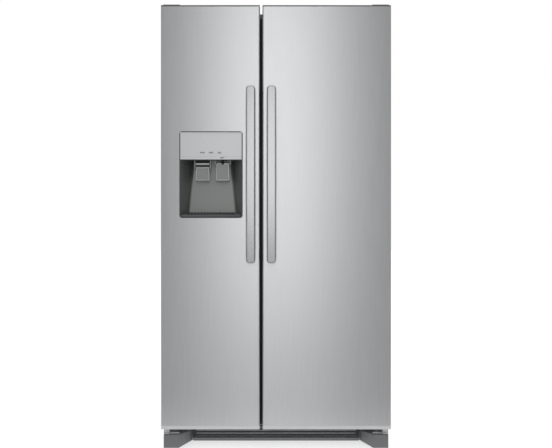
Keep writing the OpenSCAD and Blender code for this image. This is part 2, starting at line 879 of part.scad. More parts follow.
module water_filter() {
  x = fr_x1 - 42;
  color(LINER) {
    translate([x, filter_y, cav_z1 - 40]) rotate([-90, 0, 0]) cylinder(r = 27, h = filter_len);
    span([x - 8, filter_y + 30, cav_z1 - 40], [x + 8, filter_y + filter_len - 30, cav_z1]);
  }
}

// ---- Door parts ----

module door_skin(xs) {
  difference() {
    door_block(xs, door_front, door_back, door_bottom + bottom_cap_h, door_top - top_cap_h, door_edge_r);
    door_block([xs[0] + sheet_t, xs[1] - sheet_t], door_front + sheet_t, door_back + CUT,
      door_bottom, door_top, door_edge_r - sheet_t);
  }
}

// The plastic caps and the plugs that hold them inside the skin; side is the hinge's side
module door_caps(xs, side) {
  inner = [xs[0] + sheet_t, xs[1] - sheet_t];
  plug_y = [door_front + sheet_t, door_back - liner_t];
  difference() {
    union() {
      door_block(xs, door_front, door_back, door_bottom, door_bottom + bottom_cap_h, door_edge_r);
      door_block(inner, plug_y[0], plug_y[1], door_bottom, door_bottom + plug_h, door_edge_r - sheet_t);
    }
    translate([side * pin_x, pin_y, door_bottom - CUT])
      cylinder(r = pin_r + run_clear, h = pin_depth + 2 * CUT);
  }
  difference() {
    union() {
      door_block(xs, door_front, door_back, door_top - top_cap_h, door_top, door_edge_r);
      door_block(inner, plug_y[0], plug_y[1], door_top - plug_h, door_top, door_edge_r - sheet_t);
    }
    translate([side * pin_x, pin_y, door_top - pin_depth - CUT])
      cylinder(r = pin_r + run_clear, h = pin_depth + 2 * CUT);
  }
}

// The ribs and cross ribs on the inside of a door, drawn in by g
module door_ribs(rib, g) {
  for (x = [rib[0], rib[1] - rib_w])
    span([x + g, door_back - liner_t - CUT, rib_z[0] + g],
      [x + rib_w - g, door_back + rib_d - g, rib_z[1] - g]);
  for (z = [rib_z[0], rib_z[1] - rib_w])
    span([rib[0] + g, door_back - liner_t - CUT, z + g],
      [rib[1] - g, door_back + rib_d / 2 - g, z + rib_w - g]);
}

module door_liner_plate(xs) {
  span([xs[0] + sheet_t, door_back - liner_t, door_bottom + bottom_cap_h],
    [xs[1] - sheet_t, door_back, door_top - top_cap_h]);
}

module door_foam(xs) {
  door_block([xs[0] + sheet_t, xs[1] - sheet_t], door_front + sheet_t, door_back - liner_t,
    door_bottom + plug_h, door_top - plug_h, door_edge_r - sheet_t);
}

// side is the hinge's side
module door_gasket(xs, side) {
  x0 = xs[0] + (side < 0 ? gasket_hinge_in : gasket_latch_in);
  x1 = xs[1] - (side > 0 ? gasket_hinge_in : gasket_latch_in);
  difference() {
    span([x0, door_back, gasket_z[0]], [x1, cab_front - 0.2, gasket_z[1]]);
    span([x0 + gasket_w, door_back - CUT, gasket_z[0] + gasket_w],
      [x1 - gasket_w, cab_front + CUT, gasket_z[1] - gasket_w]);
  }
}

// A bowed bar on two posts
module handle(x) {
  half = handle_len / 2;
  post = 34;
  // Radius of the bow, from its length and rise
  bow_r = (half * half + handle_bow * handle_bow) / (2 * handle_bow);
  sweep = asin(half / bow_r);
  chamfer = 4;
  y_mid = door_front - handle_proj;
  translate([x, y_mid + bow_r, handle_z0 + half]) rotate([90, 0, 90]) rotate([0, 0, 180 - sweep]) {
    rotate_extrude(angle = 2 * sweep, $fn = 360)
      polygon([
        [bow_r - handle_t, -handle_w / 2],
        [bow_r - chamfer, -handle_w / 2],
        [bow_r, -handle_w / 2 + chamfer],
        [bow_r, handle_w / 2 - chamfer],
        [bow_r - chamfer, handle_w / 2],
        [bow_r - handle_t, handle_w / 2]
      ]);
  }
  for (z = [handle_z0 + 3, handle_z0 + handle_len - post - 3])
    span([x - handle_w / 2 + 3, y_mid + handle_bow + 5, z], [x + handle_w / 2 - 3, door_front, z + post]);
}

// Bins hang between the ribs
module door_bin(rib, z) {
  tray([rib[0] + rib_w + 1, door_back, z], [rib[1] - rib_w - 1, door_back + bin_d, z + bin_h], bin_wall);
}

// ---- Freezer door ----

module freezer_door_skin() {
  color(STEEL) difference() {
    door_skin(fz_door);
    span_y([disp_x0, door_front - CUT, disp_z], [disp_x1, door_front + 5, disp_top], bezel_r);
  }
}

module freezer_door_caps() {
  color(TRIM) door_caps(fz_door, -1);
}

module bulge_box(g) {
  span([bulge[0][0] + g, door_back - liner_t - CUT, bulge[0][1] + g],
    [bulge[1][0] - g, bulge_back - g, bulge[1][1] - g]);
}

module freezer_door_liner() {
  color(LINER) difference() {
    union() {
      door_liner_plate(fz_door);
      intersection() {
        union() {
          door_ribs(fz_rib, 0);
          bulge_box(0);
        }
        span([fz_door[0], door_back - liner_t, 0], [fz_door[1], cab_back, overall_h]);
      }
    }
    door_ribs(fz_rib, liner_t);
    bulge_box(liner_t);
    chute_block(0.3);
  }
}

module freezer_door_foam() {
  color(FOAM) difference() {
    union() {
      door_foam(fz_door);
      intersection() {
        union() {
          door_ribs(fz_rib, liner_t);
          bulge_box(liner_t);
        }
        span([fz_door[0], door_front + 20, door_bottom + plug_h], [fz_door[1], cab_back, door_top - plug_h]);
      }
    }
    recess(housing_wall);
    span([disp_x0, door_front, panel_z - 4], [disp_x1, door_front + panel_t + 5, disp_top]);
    span_y([disp_x0, door_front, disp_z], [disp_x1, door_front + bezel_t + 3, disp_top], bezel_r);
    chute_block(0);
    nozzle_room();
  }
}

module freezer_door_gasket() {
  color(TRIM) door_gasket(fz_door, -1);
}

module freezer_handle() {
  color(STEEL) handle(fz_door[1] - handle_inset);
}

module freezer_door_bins() {
  low = floor_z + 34;
  pitch = (bulge[0][1] - low - bin_h - 30) / 2;
  color(CLEAR, 0.5) {
    for (i = [0:2])
      door_bin(fz_rib, low + i * pitch);
    door_bin(fz_rib, maker_z - 40);
  }
}

// The dispenser's recess, grown by g: its back is narrower than its mouth, and narrowest at the top
module recess(g) {
  mouth = recess_mouth;
  back_low = recess_low;
  back_high = recess_high;
  y0 = door_front - recess_lead;
  y1 = recess_back + g;
  z0 = disp_z + bezel_t - g;
  z1 = panel_z + g;
  z0_back = z0 + recess_rise;
  polyhedron(
    points = [
      [disp_c - mouth - g, y0, z0],
      [disp_c + mouth + g, y0, z0],
      [disp_c + mouth + g, y0, z1],
      [disp_c - mouth - g, y0, z1],
      [disp_c - back_low - g, y1, z0_back],
      [disp_c + back_low + g, y1, z0_back],
      [disp_c + back_high + g, y1, z1],
      [disp_c - back_high - g, y1, z1]
    ],
    faces = [[2, 1, 0], [3, 2, 0], [7, 4, 5], [6, 7, 5], [1, 5, 4], [0, 1, 4], [6, 2, 3], [7, 6, 3],
      [6, 5, 1], [2, 6, 1], [7, 0, 4], [7, 3, 0]]
  );
}

module chute_block(g) {
  span([ice_x - chute_w / 2 - g, chute_y[0] - g, panel_z],
    [ice_x + chute_w / 2 + g, chute_y[1] + g, chute_body_top + g]);
}

module nozzle_room() {
  translate([water_x, paddle_y - 14, panel_z - 20]) cylinder(r = 7.3, h = 60);
}

module dispenser_housing() {
  color(TRIM) difference() {
    union() {
      // Bezel that laps the skin's cut-out
      span_y([disp_x0 + 0.3, door_front - bezel_proud, disp_z + 0.3],
        [disp_x1 - 0.3, door_front + bezel_t + 3, disp_top - 0.3], bezel_r);
      intersection() {
        recess(housing_wall);
        span([fz_door[0], door_front + behind_skin, disp_z], [fz_door[1], cab_back, disp_top]);
      }
      // Pocket behind the panel
      span([disp_x0 + 0.3, door_front + behind_skin, panel_z - 4],
        [disp_x1 - 0.3, door_front + panel_t + 5, disp_top - 0.3]);
    }
    recess(0);
    span([disp_x0 + bezel_t, door_front - 5, panel_z - CUT],
      [disp_x1 - bezel_t, door_front + panel_t + 2, disp_top - bezel_t]);
    chute_block(0);
    nozzle_room();
  }
  // Ears that hold the paddles' pins
  color(TRIM)
    for (p = [[ice_x, ice_paddle_half, ice_paddle_z], [water_x, water_paddle_half, water_paddle_z]],
        s = [-1, 1])
      paddle_ear(p[0] + s * (p[1] + ear_t / 2 + ear_gap), p[2]);
}

module paddle_ear(x, z) {
  difference() {
    span([x - ear_t / 2, paddle_y - 8, z - 7], [x + ear_t / 2, paddle_y + 8, panel_z + 1]);
    rod([x - ear_t, paddle_y, z], [x + ear_t, paddle_y, z], paddle_pin_r + run_clear);
  }
}

// A paddle with its centre at c, half as wide as w, hung from a pin at height z
module paddle(c, w, z) {
  rim = 5;
  rim_d = 7;
  rod([c - w - ear_t, paddle_y, z], [c + w + ear_t, paddle_y, z], paddle_pin_r);
  rod([c - w, paddle_y, z], [c + w, paddle_y, z], barrel_r);
  span([c - w, paddle_y - paddle_t / 2, paddle_foot], [c + w, paddle_y + paddle_t / 2, z]);
  // Raised rims down both sides and along the foot
  for (x = [c - w, c + w - rim])
    span([x, paddle_y - rim_d, paddle_foot], [x + rim, paddle_y, z - 14]);
  span([c - w, paddle_y - rim_d, paddle_foot], [c + w, paddle_y, paddle_foot + rim]);
}

module ice_paddle() {
  color(TRIM) paddle(ice_x, ice_paddle_half, ice_paddle_z);
}

module water_paddle() {
  color(TRIM) paddle(water_x, water_paddle_half, water_paddle_z);
}

module button_hole(i, g) {
  x = disp_c + BUTTON_X[i];
  span([x - button_w / 2 - g, door_front - 4, button_z - button_h / 2 - g],
    [x + button_w / 2 + g, door_front + 6, button_z + button_h / 2 + g]);
}

module dispenser_panel() {
  color(STEEL) difference() {
    span([disp_x0 + bezel_t + 0.2, door_front - bezel_proud, panel_z + 0.2],
      [disp_x1 - bezel_t - 0.2, door_front + panel_t, disp_top - bezel_t - 0.2]);
    // Hollow from behind
    span([disp_x0 + bezel_t + 2.7, door_front + 1.5, panel_z + 2.7],
      [disp_x1 - bezel_t - 2.7, door_front + panel_t + CUT, disp_top - bezel_t - 2.7]);
    for (i = [0:2])
      button_hole(i, 0.3);
  }
}

module panel_button(i) {
  x = disp_c + BUTTON_X[i];
  color(TRIM) {
    span([x - button_w / 2, door_front - bezel_proud - 0.6, button_z - button_h / 2],
      [x + button_w / 2, door_front + 5, button_z + button_h / 2]);
    // Rim that keeps the button behind the panel
    span([x - button_w / 2 - button_flange, door_front + 2, button_z - button_h / 2 - button_flange],
      [x + button_w / 2 + button_flange, door_front + 4, button_z + button_h / 2 + button_flange]);
  }
}

module panel_button_left() {
  panel_button(0);
}

module panel_button_middle() {
  panel_button(1);
}

module panel_button_right() {
  panel_button(2);
}

// Half the recess's width at its floor, at a distance y
function recess_half(y) =
  recess_mouth - (recess_mouth - recess_low) * (y - door_front + recess_lead) / (recess_d + recess_lead);

// A slotted tray that lies on the recess's sloping floor
module dispenser_tray() {
  slope = atan(recess_rise / (recess_d + recess_lead));
  front = recess_half(tray_front) - tray_gap;
  back = recess_half(tray_front + tray_len) - tray_gap;
  floor_front = disp_z + bezel_t + tan(slope) * (tray_front - door_front + recess_lead);
  pitch = (2 * back - 4 * tray_rim) / tray_slots;
  color(DARK) translate([disp_c, tray_front, floor_front + 0.5]) rotate([slope, 0, 0]) difference() {
    linear_extrude(tray_t) polygon([[-front, 0], [front, 0], [back, tray_len], [-back, tray_len]]);
    translate([0, 0, 2]) linear_extrude(tray_t - 2 - 2)
      polygon([[-front + tray_rim, tray_rim], [front - tray_rim, tray_rim],
        [back - tray_rim, tray_len - tray_rim], [-back + tray_rim, tray_len - tray_rim]]);
    for (i = [0:tray_slots - 1])
      span([-back + 2 * tray_rim + i * pitch, 2 * tray_rim, 3],
        [-back + 2 * tray_rim + (i + 0.6) * pitch, tray_len - 2 * tray_rim, tray_t + CUT]);
  }
}

module ice_chute() {
  half = chute_w / 2 - 0.2;
  lip = chute_w / 2 + 8;
  color(DARK) difference() {
    union() {
      span([ice_x - half, chute_y[0] + 0.2, chute_low], [ice_x + half, chute_y[1] - 0.2, chute_body_top]);
      // Funnel on the door's inside
      span([ice_x - lip, door_back + 1, chute_seat + 1], [ice_x + lip, chute_mouth_y, chute_top]);
    }
    span([ice_x - half + chute_wall, chute_y[0] + 0.2 + chute_wall, chute_low - CUT],
      [ice_x + half - chute_wall, chute_y[1] - 0.2 - chute_wall, chute_body_top + 2]);
    span([ice_x - lip + chute_wall, door_back + 1 + chute_wall, chute_seat + 3],
      [ice_x + lip - chute_wall, chute_mouth_y - chute_wall, chute_top + CUT]);
  }
}

module water_nozzle() {
  color(DARK) translate([water_x, paddle_y - 14, 0]) difference() {
    union() {
      translate([0, 0, panel_z - 16]) cylinder(r = 5, h = 46);
      translate([0, 0, panel_z + 2]) cylinder(r = 7, h = 20);
    }
    translate([0, 0, panel_z - 16 - CUT]) cylinder(r = 3, h = 40);
  }
}

// ---- Fridge door ----

module fridge_door_skin() {
  color(STEEL) door_skin(fr_door);
}

module fridge_door_caps() {
  color(TRIM) door_caps(fr_door, 1);
}

module fridge_door_foam() {
  color(FOAM) union() {
    door_foam(fr_door);
    intersection() {
      door_ribs(fr_rib, liner_t);
      span([fr_door[0], door_front + 20, door_bottom], [fr_door[1], cab_back, door_top]);
    }
  }
}

module fridge_door_liner() {
  color(LINER) difference() {
    union() {
      door_liner_plate(fr_door);
      intersection() {
        door_ribs(fr_rib, 0);
        span([fr_door[0], door_back - liner_t, 0], [fr_door[1], cab_back, overall_h]);
      }
    }
    door_ribs(fr_rib, liner_t);
  }
}

module fridge_door_gasket() {
  color(TRIM) door_gasket(fr_door, 1);
}

module fridge_handle() {
  color(STEEL) handle(fr_door[0] + handle_inset);
}

module fridge_door_bins() {
  low = floor_z + 34;
  pitch = (dairy_z - low - bin_h - 40) / 4;
  x0 = fr_rib[0] + rib_w + 1;
  x1 = fr_rib[1] - rib_w - 1;
  color(CLEAR, 0.5) {
    for (i = [0:4])
      door_bin(fr_rib, low + i * pitch);
    // Dairy compartment, open towards the inside of the cabinet
    difference() {
      span([x0, door_back, dairy_z], [x1, door_back + bin_d - 8, dairy_z + dairy_h]);
      span([x0 + dairy_t, door_back + dairy_t, dairy_z + dairy_t],
        [x1 - dairy_t, door_back + bin_d, dairy_z + dairy_h - dairy_t]);
    }
  }
}

module dairy_lid() {
  x0 = fr_rib[0] + rib_w + 1;
  x1 = fr_rib[1] - rib_w - 1;
  color(CLEAR, 0.5) {
    span([x0, lid_y - 7, dairy_z + 2], [x1, lid_y - 4, dairy_z + dairy_h - 4]);
    span([x0 + 100, lid_y - 4, dairy_z + 8], [x1 - 100, lid_y, dairy_z + 16]);
    rod([x0, lid_y - 4, dairy_z + dairy_h - 4], [x1, lid_y - 4, dairy_z + dairy_h - 4], 3);
  }
}

outer_shell();
back_panel();
cabinet_foam();
freezer_liner();
fridge_liner();
mullion_cover();
base_frame();
toe_grille();
leg_covers();
top_hinges();
hinge_covers();
bottom_hinges();
compressor();
condenser_coil();
drain_pan();
rear_cover();
power_inlet();
evaporator_cover();
evaporator_coil();
light_lenses();
water_filter();
shelf_frames();
shelf_glass();
ice_maker();
ice_bin();
ice_arm();
ice_auger();
condenser_fan();
evaporator_fan();
upper_crisper();
lower_crisper();
freezer_basket();
rear_rollers();
levelling_leg_left();
levelling_leg_right();
freezer_door_skin();
freezer_door_caps();
freezer_door_foam();
freezer_door_liner();
freezer_door_gasket();
freezer_handle();
dispenser_housing();
dispenser_panel();
dispenser_tray();
ice_chute();
water_nozzle();
freezer_door_bins();
ice_paddle();
water_paddle();
panel_button_left();
panel_button_middle();
panel_button_right();
fridge_door_skin();
fridge_door_caps();
fridge_door_foam();
fridge_door_liner();
fridge_door_gasket();
fridge_handle();
fridge_door_bins();
dairy_lid();
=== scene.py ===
"""Looks of a side by side refrigerator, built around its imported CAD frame. Metres, +Z up, front -Y."""
import json
import math

import bmesh
import bpy
from mathutils import Matrix, Vector


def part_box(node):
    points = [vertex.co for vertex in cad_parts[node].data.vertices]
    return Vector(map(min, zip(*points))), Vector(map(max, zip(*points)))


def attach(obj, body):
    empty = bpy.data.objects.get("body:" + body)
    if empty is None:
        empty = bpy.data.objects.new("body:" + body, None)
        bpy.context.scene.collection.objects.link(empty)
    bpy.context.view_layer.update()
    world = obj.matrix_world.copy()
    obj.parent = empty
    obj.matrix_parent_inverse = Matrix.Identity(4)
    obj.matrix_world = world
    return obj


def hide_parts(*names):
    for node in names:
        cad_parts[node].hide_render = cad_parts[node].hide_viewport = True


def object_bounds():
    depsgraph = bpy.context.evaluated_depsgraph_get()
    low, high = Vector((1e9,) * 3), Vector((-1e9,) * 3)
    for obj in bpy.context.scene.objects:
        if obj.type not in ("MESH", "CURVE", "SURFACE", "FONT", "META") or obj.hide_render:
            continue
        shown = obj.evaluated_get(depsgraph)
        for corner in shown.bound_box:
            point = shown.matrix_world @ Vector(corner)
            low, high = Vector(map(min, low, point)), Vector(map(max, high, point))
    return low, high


bl_info = {
    "name": "Side by side refrigerator",
    "version": (1, 0, 0),
    "blender": (4, 5, 0),
    "location": "3D View > Sidebar > Refrigerator",
    "description": "Builds the doors, handles, dispenser, fittings, finishes and studio of a refrigerator",
    "category": "Object",
}

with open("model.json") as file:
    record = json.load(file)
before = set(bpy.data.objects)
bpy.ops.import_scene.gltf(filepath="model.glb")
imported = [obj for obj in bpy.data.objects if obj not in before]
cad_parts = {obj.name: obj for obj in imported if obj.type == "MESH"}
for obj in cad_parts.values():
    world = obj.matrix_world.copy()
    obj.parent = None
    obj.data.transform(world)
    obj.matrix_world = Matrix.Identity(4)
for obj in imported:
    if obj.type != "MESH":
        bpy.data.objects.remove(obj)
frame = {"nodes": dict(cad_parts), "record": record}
CAD_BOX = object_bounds()
NODES = frame["nodes"]
SLOT_OF = {row["node"]: row["material_slot"] for row in frame["record"]["subparts"]}
BODY_OF = {node: body for body, nodes in frame["record"]["behaviour"]["bodies"].items() for node in nodes}
MM = 0.001


# ---- Sizes and colours that a user would change ----


class FridgeSizes(bpy.types.PropertyGroup):
    """Sizes of the visible detail, in metres"""
    skin_edge: bpy.props.FloatProperty(
        name="Door edge radius", description="Radius of the doors' front vertical edges",
        default=5 * MM, unit="LENGTH")
    skin_sheet: bpy.props.FloatProperty(
        name="Door sheet", description="Thickness of the doors' steel sheet", default=1 * MM, unit="LENGTH")
    sheet_edge: bpy.props.FloatProperty(
        name="Sheet edge", description="Radius on the edges of folded sheet", default=0.4 * MM, unit="LENGTH")
    handle_bow: bpy.props.FloatProperty(
        name="Handle bow", description="How far a handle's middle stands out past its ends",
        default=17 * MM, unit="LENGTH")
    handle_bar: bpy.props.FloatProperty(
        name="Handle bar", description="Thickness of a handle's bar", default=17 * MM, unit="LENGTH")
    handle_edge: bpy.props.FloatProperty(
        name="Handle edge", description="Radius of a handle's long front edges", default=5 * MM, unit="LENGTH")
    handle_end: bpy.props.FloatProperty(
        name="Handle end", description="Radius of the corners at a handle's ends", default=13 * MM, unit="LENGTH")
    outline: bpy.props.FloatProperty(
        name="Dispenser outline", description="Corner radius of the dispenser's outline",
        default=11 * MM, unit="LENGTH")
    screw_head: bpy.props.FloatProperty(
        name="Screw head", description="Radius of a screw head", default=4.2 * MM, unit="LENGTH")


class FridgeColours(bpy.types.PropertyGroup):
    """Colours of the finishes, as sRGB hex"""
    stainless: bpy.props.StringProperty(name="Stainless", description="Brushed stainless skins", default="#CFD0D1")
    stainless_grain: bpy.props.StringProperty(
        name="Stainless grain", description="Darker grain of the brushed skins", default="#C2C3C5")
    handle: bpy.props.StringProperty(name="Handle", description="Satin stainless handles", default="#B6B7B8")
    cabinet: bpy.props.StringProperty(name="Cabinet", description="Enamelled cabinet sides", default="#8A8D8F")
    liner: bpy.props.StringProperty(name="Liner", description="Vacuum formed liners", default="#F1F2F1")
    trim: bpy.props.StringProperty(name="Trim", description="Grey moulded trim", default="#77797B")
    bezel: bpy.props.StringProperty(name="Bezel", description="Dark rim round the dispenser", default="#4C4E50")
    recess: bpy.props.StringProperty(name="Recess", description="Dispenser recess moulding", default="#A3A6A4")
    # The paddles' lighter rims: a painted highlight
    paddle: bpy.props.StringProperty(name="Paddle", description="Dispenser paddles", default="#BDBFC0")
    panel: bpy.props.StringProperty(name="Panel", description="Silver control panel", default="#E6E7E8")
    mark: bpy.props.StringProperty(name="Marks", description="Plain marks on the buttons", default="#5C5E60")
    black: bpy.props.StringProperty(name="Black", description="Black moulded parts", default="#17181A")
    gasket: bpy.props.StringProperty(name="Gasket", description="Door gaskets", default="#8F9193")
    clear: bpy.props.StringProperty(name="Clear", description="Clear moulded bins and drawers", default="#EAF1F4")
    # The floor colour is also the colour of its painted glow
    floor: bpy.props.StringProperty(name="Floor", description="Studio floor", default="#D6D6D6")


def sizes():
    """The sizes in use."""
    return bpy.context.scene.fridge_sizes


def colours():
    """The colours in use."""
    return bpy.context.scene.fridge_colours


# ---- Materials ----


def linear(code, share=1.0):
    """An sRGB hex colour as linear RGBA, its light scaled by a share."""
    parts = [int(code[i:i + 2], 16) / 255 for i in (1, 3, 5)]
    return [share * (c / 12.92 if c <= 0.04045 else ((c + 0.055) / 1.055) ** 2.4) for c in parts] + [1.0]


def add(tree, kind, settings=None, **links):
    """Adds a node with its settings; each named or numbered input is linked from a socket or set to a value."""
    node = tree.nodes.new(kind)
    for key, value in (settings or {}).items():
        setattr(node, key, value)
    for key, value in links.items():
        socket = node.inputs[int(key[1:])] if key[1:].isdigit() else node.inputs[key.replace("_", " ")]
        if isinstance(value, bpy.types.NodeSocket):
            tree.links.new(value, socket)
        else:
            socket.default_value = value
    return node


def start(name, **shader):
    """A new material whose shader has these constant settings; returns it, its tree and its coordinates."""
    made = bpy.data.materials.new(name)
    made.use_nodes = True
    for key, value in shader.items():
        made.node_tree.nodes["Principled BSDF"].inputs[key.replace("_", " ")].default_value = value
    place = add(made.node_tree, "ShaderNodeTexCoord").outputs["Object"]
    return made, made.node_tree, place


def feed(tree, **links):
    """Links sockets into the tree's shader."""
    for key, socket in links.items():
        tree.links.new(socket, tree.nodes["Principled BSDF"].inputs[key.replace("_", " ")])


def brushed_stainless():
    """Belt brushed stainless sheet: fine upright grain under a sheen that is drawn out along the height."""
    c = colours()
    made, tree, place = start("brushed_stainless", Metallic=1.0, Anisotropic=0.5, Anisotropic_Rotation=0.25)
    # Grain lines about 4 mm apart and 170 mm long, coarser than the real 0.1 mm so that they show
    upright = add(tree, "ShaderNodeMapping", Vector=place, Scale=(250, 250, 6)).outputs[0]
    grain = add(tree, "ShaderNodeTexNoise", Vector=upright, Scale=1.0, Detail=4.0, Roughness=0.65).outputs[0]
    colour = add(tree, "ShaderNodeMix", {"data_type": "RGBA"}, _0=grain, _6=linear(c.stainless_grain),
                 _7=linear(c.stainless)).outputs[2]
    polish = add(tree, "ShaderNodeMapRange", Value=grain, To_Min=0.27, To_Max=0.36).outputs[0]
    relief = add(tree, "ShaderNodeBump", Height=grain, Strength=0.05, Distance=0.0002).outputs[0]
    across = add(tree, "ShaderNodeTangent", {"direction_type": "RADIAL", "axis": "Z"}).outputs[0]
    feed(tree, Base_Color=colour, Roughness=polish, Normal=relief, Tangent=across)
    return made


def satin_stainless():
    """Satin stainless bar, finer brushed than the doors: crisper reflections along its length."""
    made, tree, place = start("satin_stainless", Metallic=1.0, Anisotropic=0.5, Anisotropic_Rotation=0.25)
    # Grain of about 1 mm by 200 mm, coarser than the real 0.05 mm
    upright = add(tree, "ShaderNodeMapping", Vector=place, Scale=(900, 900, 5)).outputs[0]
    grain = add(tree, "ShaderNodeTexNoise", Vector=upright, Scale=1.0, Detail=3.0, Roughness=0.6).outputs[0]
    colour = add(tree, "ShaderNodeMix", {"data_type": "RGBA"}, _0=grain, _6=linear(colours().handle, 0.92),
                 _7=linear(colours().handle)).outputs[2]
    polish = add(tree, "ShaderNodeMapRange", Value=grain, To_Min=0.25, To_Max=0.31).outputs[0]
    relief = add(tree, "ShaderNodeBump", Height=grain, Strength=0.02, Distance=0.0001).outputs[0]
    across = add(tree, "ShaderNodeTangent", {"direction_type": "RADIAL", "axis": "Z"}).outputs[0]
    feed(tree, Base_Color=colour, Roughness=polish, Normal=relief, Tangent=across)
    return made


def textured_enamel():
    """Pre-painted steel with an embossed leather grain: a soft sheen broken up by 2 mm pebbling."""
    made, tree, place = start("textured_enamel")
    pebble = add(tree, "ShaderNodeTexVoronoi", {"feature": "SMOOTH_F1"}, Vector=place, Scale=450.0,
                 Smoothness=0.6).outputs[0]
    drift = add(tree, "ShaderNodeTexNoise", Vector=place, Scale=6.0).outputs[0]
    colour = add(tree, "ShaderNodeMix", {"data_type": "RGBA"}, _0=drift, _6=linear(colours().cabinet, 0.9),
                 _7=linear(colours().cabinet)).outputs[2]
    polish = add(tree, "ShaderNodeMapRange", Value=drift, To_Min=0.36, To_Max=0.48).outputs[0]
    relief = add(tree, "ShaderNodeBump", Height=pebble, Strength=0.35, Distance=0.0003).outputs[0]
    feed(tree, Base_Color=colour, Roughness=polish, Normal=relief)
    return made


def moulded(name, code, rough, grain_mm, depth):
    """Injection moulded plastic with a spark-eroded grain of the given size in millimetres."""
    made, tree, place = start(name, IOR=1.53)
    grain = add(tree, "ShaderNodeTexNoise", Vector=place, Scale=1 / (grain_mm * MM), Detail=3.0).outputs[0]
    drift = add(tree, "ShaderNodeTexNoise", Vector=place, Scale=9.0).outputs[0]
    colour = add(tree, "ShaderNodeMix", {"data_type": "RGBA"}, _0=drift, _6=linear(code, 0.88),
                 _7=linear(code)).outputs[2]
    polish = add(tree, "ShaderNodeMapRange", Value=grain, To_Min=rough * 0.85, To_Max=rough * 1.2).outputs[0]
    relief = add(tree, "ShaderNodeBump", Height=grain, Strength=depth, Distance=0.0002).outputs[0]
    feed(tree, Base_Color=colour, Roughness=polish, Normal=relief)
    return made


def lacquered(name, code, metallic, rough):
    """ABS with a metallic lacquer: bright flakes and a satin sheen that darkens where it faces dark things."""
    made, tree, place = start(name, Metallic=metallic)
    # Flakes of 0.7 mm, coarser than the real 0.05 mm
    flake = add(tree, "ShaderNodeTexVoronoi", Vector=place, Scale=1500.0).outputs["Color"]
    value = add(tree, "ShaderNodeSeparateColor", Color=flake).outputs[0]
    colour = add(tree, "ShaderNodeMix", {"data_type": "RGBA"}, _0=value, _6=linear(code, 0.86),
                 _7=linear(code)).outputs[2]
    polish = add(tree, "ShaderNodeMapRange", Value=value, To_Min=rough * 0.9, To_Max=rough * 1.15).outputs[0]
    relief = add(tree, "ShaderNodeBump", Height=value, Strength=0.05, Distance=0.0001).outputs[0]
    feed(tree, Base_Color=colour, Roughness=polish, Normal=relief)
    return made


def formed_liner():
    """Vacuum formed polystyrene: clean white with a satin gloss and the faint waves that forming leaves."""
    made, tree, place = start("formed_liner", IOR=1.59, Coat_Weight=0.15, Coat_Roughness=0.2)
    wave = add(tree, "ShaderNodeTexNoise", Vector=place, Scale=14.0, Detail=1.0).outputs[0]
    fine = add(tree, "ShaderNodeTexNoise", Vector=place, Scale=260.0).outputs[0]
    colour = add(tree, "ShaderNodeMix", {"data_type": "RGBA"}, _0=wave, _6=linear(colours().liner, 0.92),
                 _7=linear(colours().liner)).outputs[2]
    polish = add(tree, "ShaderNodeMapRange", Value=fine, To_Min=0.26, To_Max=0.4).outputs[0]
    relief = add(tree, "ShaderNodeBump", Height=wave, Strength=0.1, Distance=0.002).outputs[0]
    feed(tree, Base_Color=colour, Roughness=polish, Normal=relief)
    return made


def clear_styrene():
    """Clear moulded polystyrene: see-through by its alpha, with a slight haze and a cold tint."""
    made, tree, place = start("clear_styrene", IOR=1.59, Alpha=0.34)
    haze = add(tree, "ShaderNodeTexNoise", Vector=place, Scale=40.0).outputs[0]
    colour = add(tree, "ShaderNodeMix", {"data_type": "RGBA"}, _0=haze, _6=linear(colours().clear, 0.88),
                 _7=linear(colours().clear)).outputs[2]
    polish = add(tree, "ShaderNodeMapRange", Value=haze, To_Min=0.05, To_Max=0.15).outputs[0]
    relief = add(tree, "ShaderNodeBump", Height=haze, Strength=0.05, Distance=0.0005).outputs[0]
    feed(tree, Base_Color=colour, Roughness=polish, Normal=relief)
    return made


def tempered_glass():
    """Tempered soda-lime shelf glass: see-through by its alpha, with a faint green cast all through."""
    made, tree, place = start("tempered_glass", IOR=1.52, Alpha=0.42)
    wave = add(tree, "ShaderNodeTexNoise", Vector=place, Scale=8.0, Detail=1.0).outputs[0]
    colour = add(tree, "ShaderNodeMix", {"data_type": "RGBA"}, _0=wave, _6=linear("#DCEBE6"),
                 _7=linear("#E9F3EF")).outputs[2]
    polish = add(tree, "ShaderNodeMapRange", Value=wave, To_Min=0.01, To_Max=0.04).outputs[0]
    feed(tree, Base_Color=colour, Roughness=polish)
    return made


def soft_gasket():
    """Extruded PVC magnet gasket: matt grey with faint lines along the extrusion."""
    made, tree, place = start("soft_gasket", IOR=1.5, Sheen_Weight=0.1)
    along = add(tree, "ShaderNodeMapping", Vector=place, Scale=(500, 500, 20)).outputs[0]
    line = add(tree, "ShaderNodeTexNoise", Vector=along, Scale=1.0).outputs[0]
    colour = add(tree, "ShaderNodeMix", {"data_type": "RGBA"}, _0=line, _6=linear(colours().gasket, 0.78),
                 _7=linear(colours().gasket)).outputs[2]
    polish = add(tree, "ShaderNodeMapRange", Value=line, To_Min=0.5, To_Max=0.68).outputs[0]
    relief = add(tree, "ShaderNodeBump", Height=line, Strength=0.2, Distance=0.0003).outputs[0]
    feed(tree, Base_Color=colour, Roughness=polish, Normal=relief)
    return made


def zinc_plate():
    """Zinc plated steel: pale grey metal with a soft crystalline bloom."""
    made, tree, place = start("zinc_plate", Metallic=1.0)
    # Crystals of about 6 mm
    bloom = add(tree, "ShaderNodeTexVoronoi", Vector=place, Scale=160.0).outputs["Color"]
    value = add(tree, "ShaderNodeSeparateColor", Color=bloom).outputs[1]
    colour = add(tree, "ShaderNodeMix", {"data_type": "RGBA"}, _0=value, _6=linear("#A9ABAC"),
                 _7=linear("#C6C8C9")).outputs[2]
    polish = add(tree, "ShaderNodeMapRange", Value=value, To_Min=0.34, To_Max=0.5).outputs[0]
    feed(tree, Base_Color=colour, Roughness=polish)
    return made


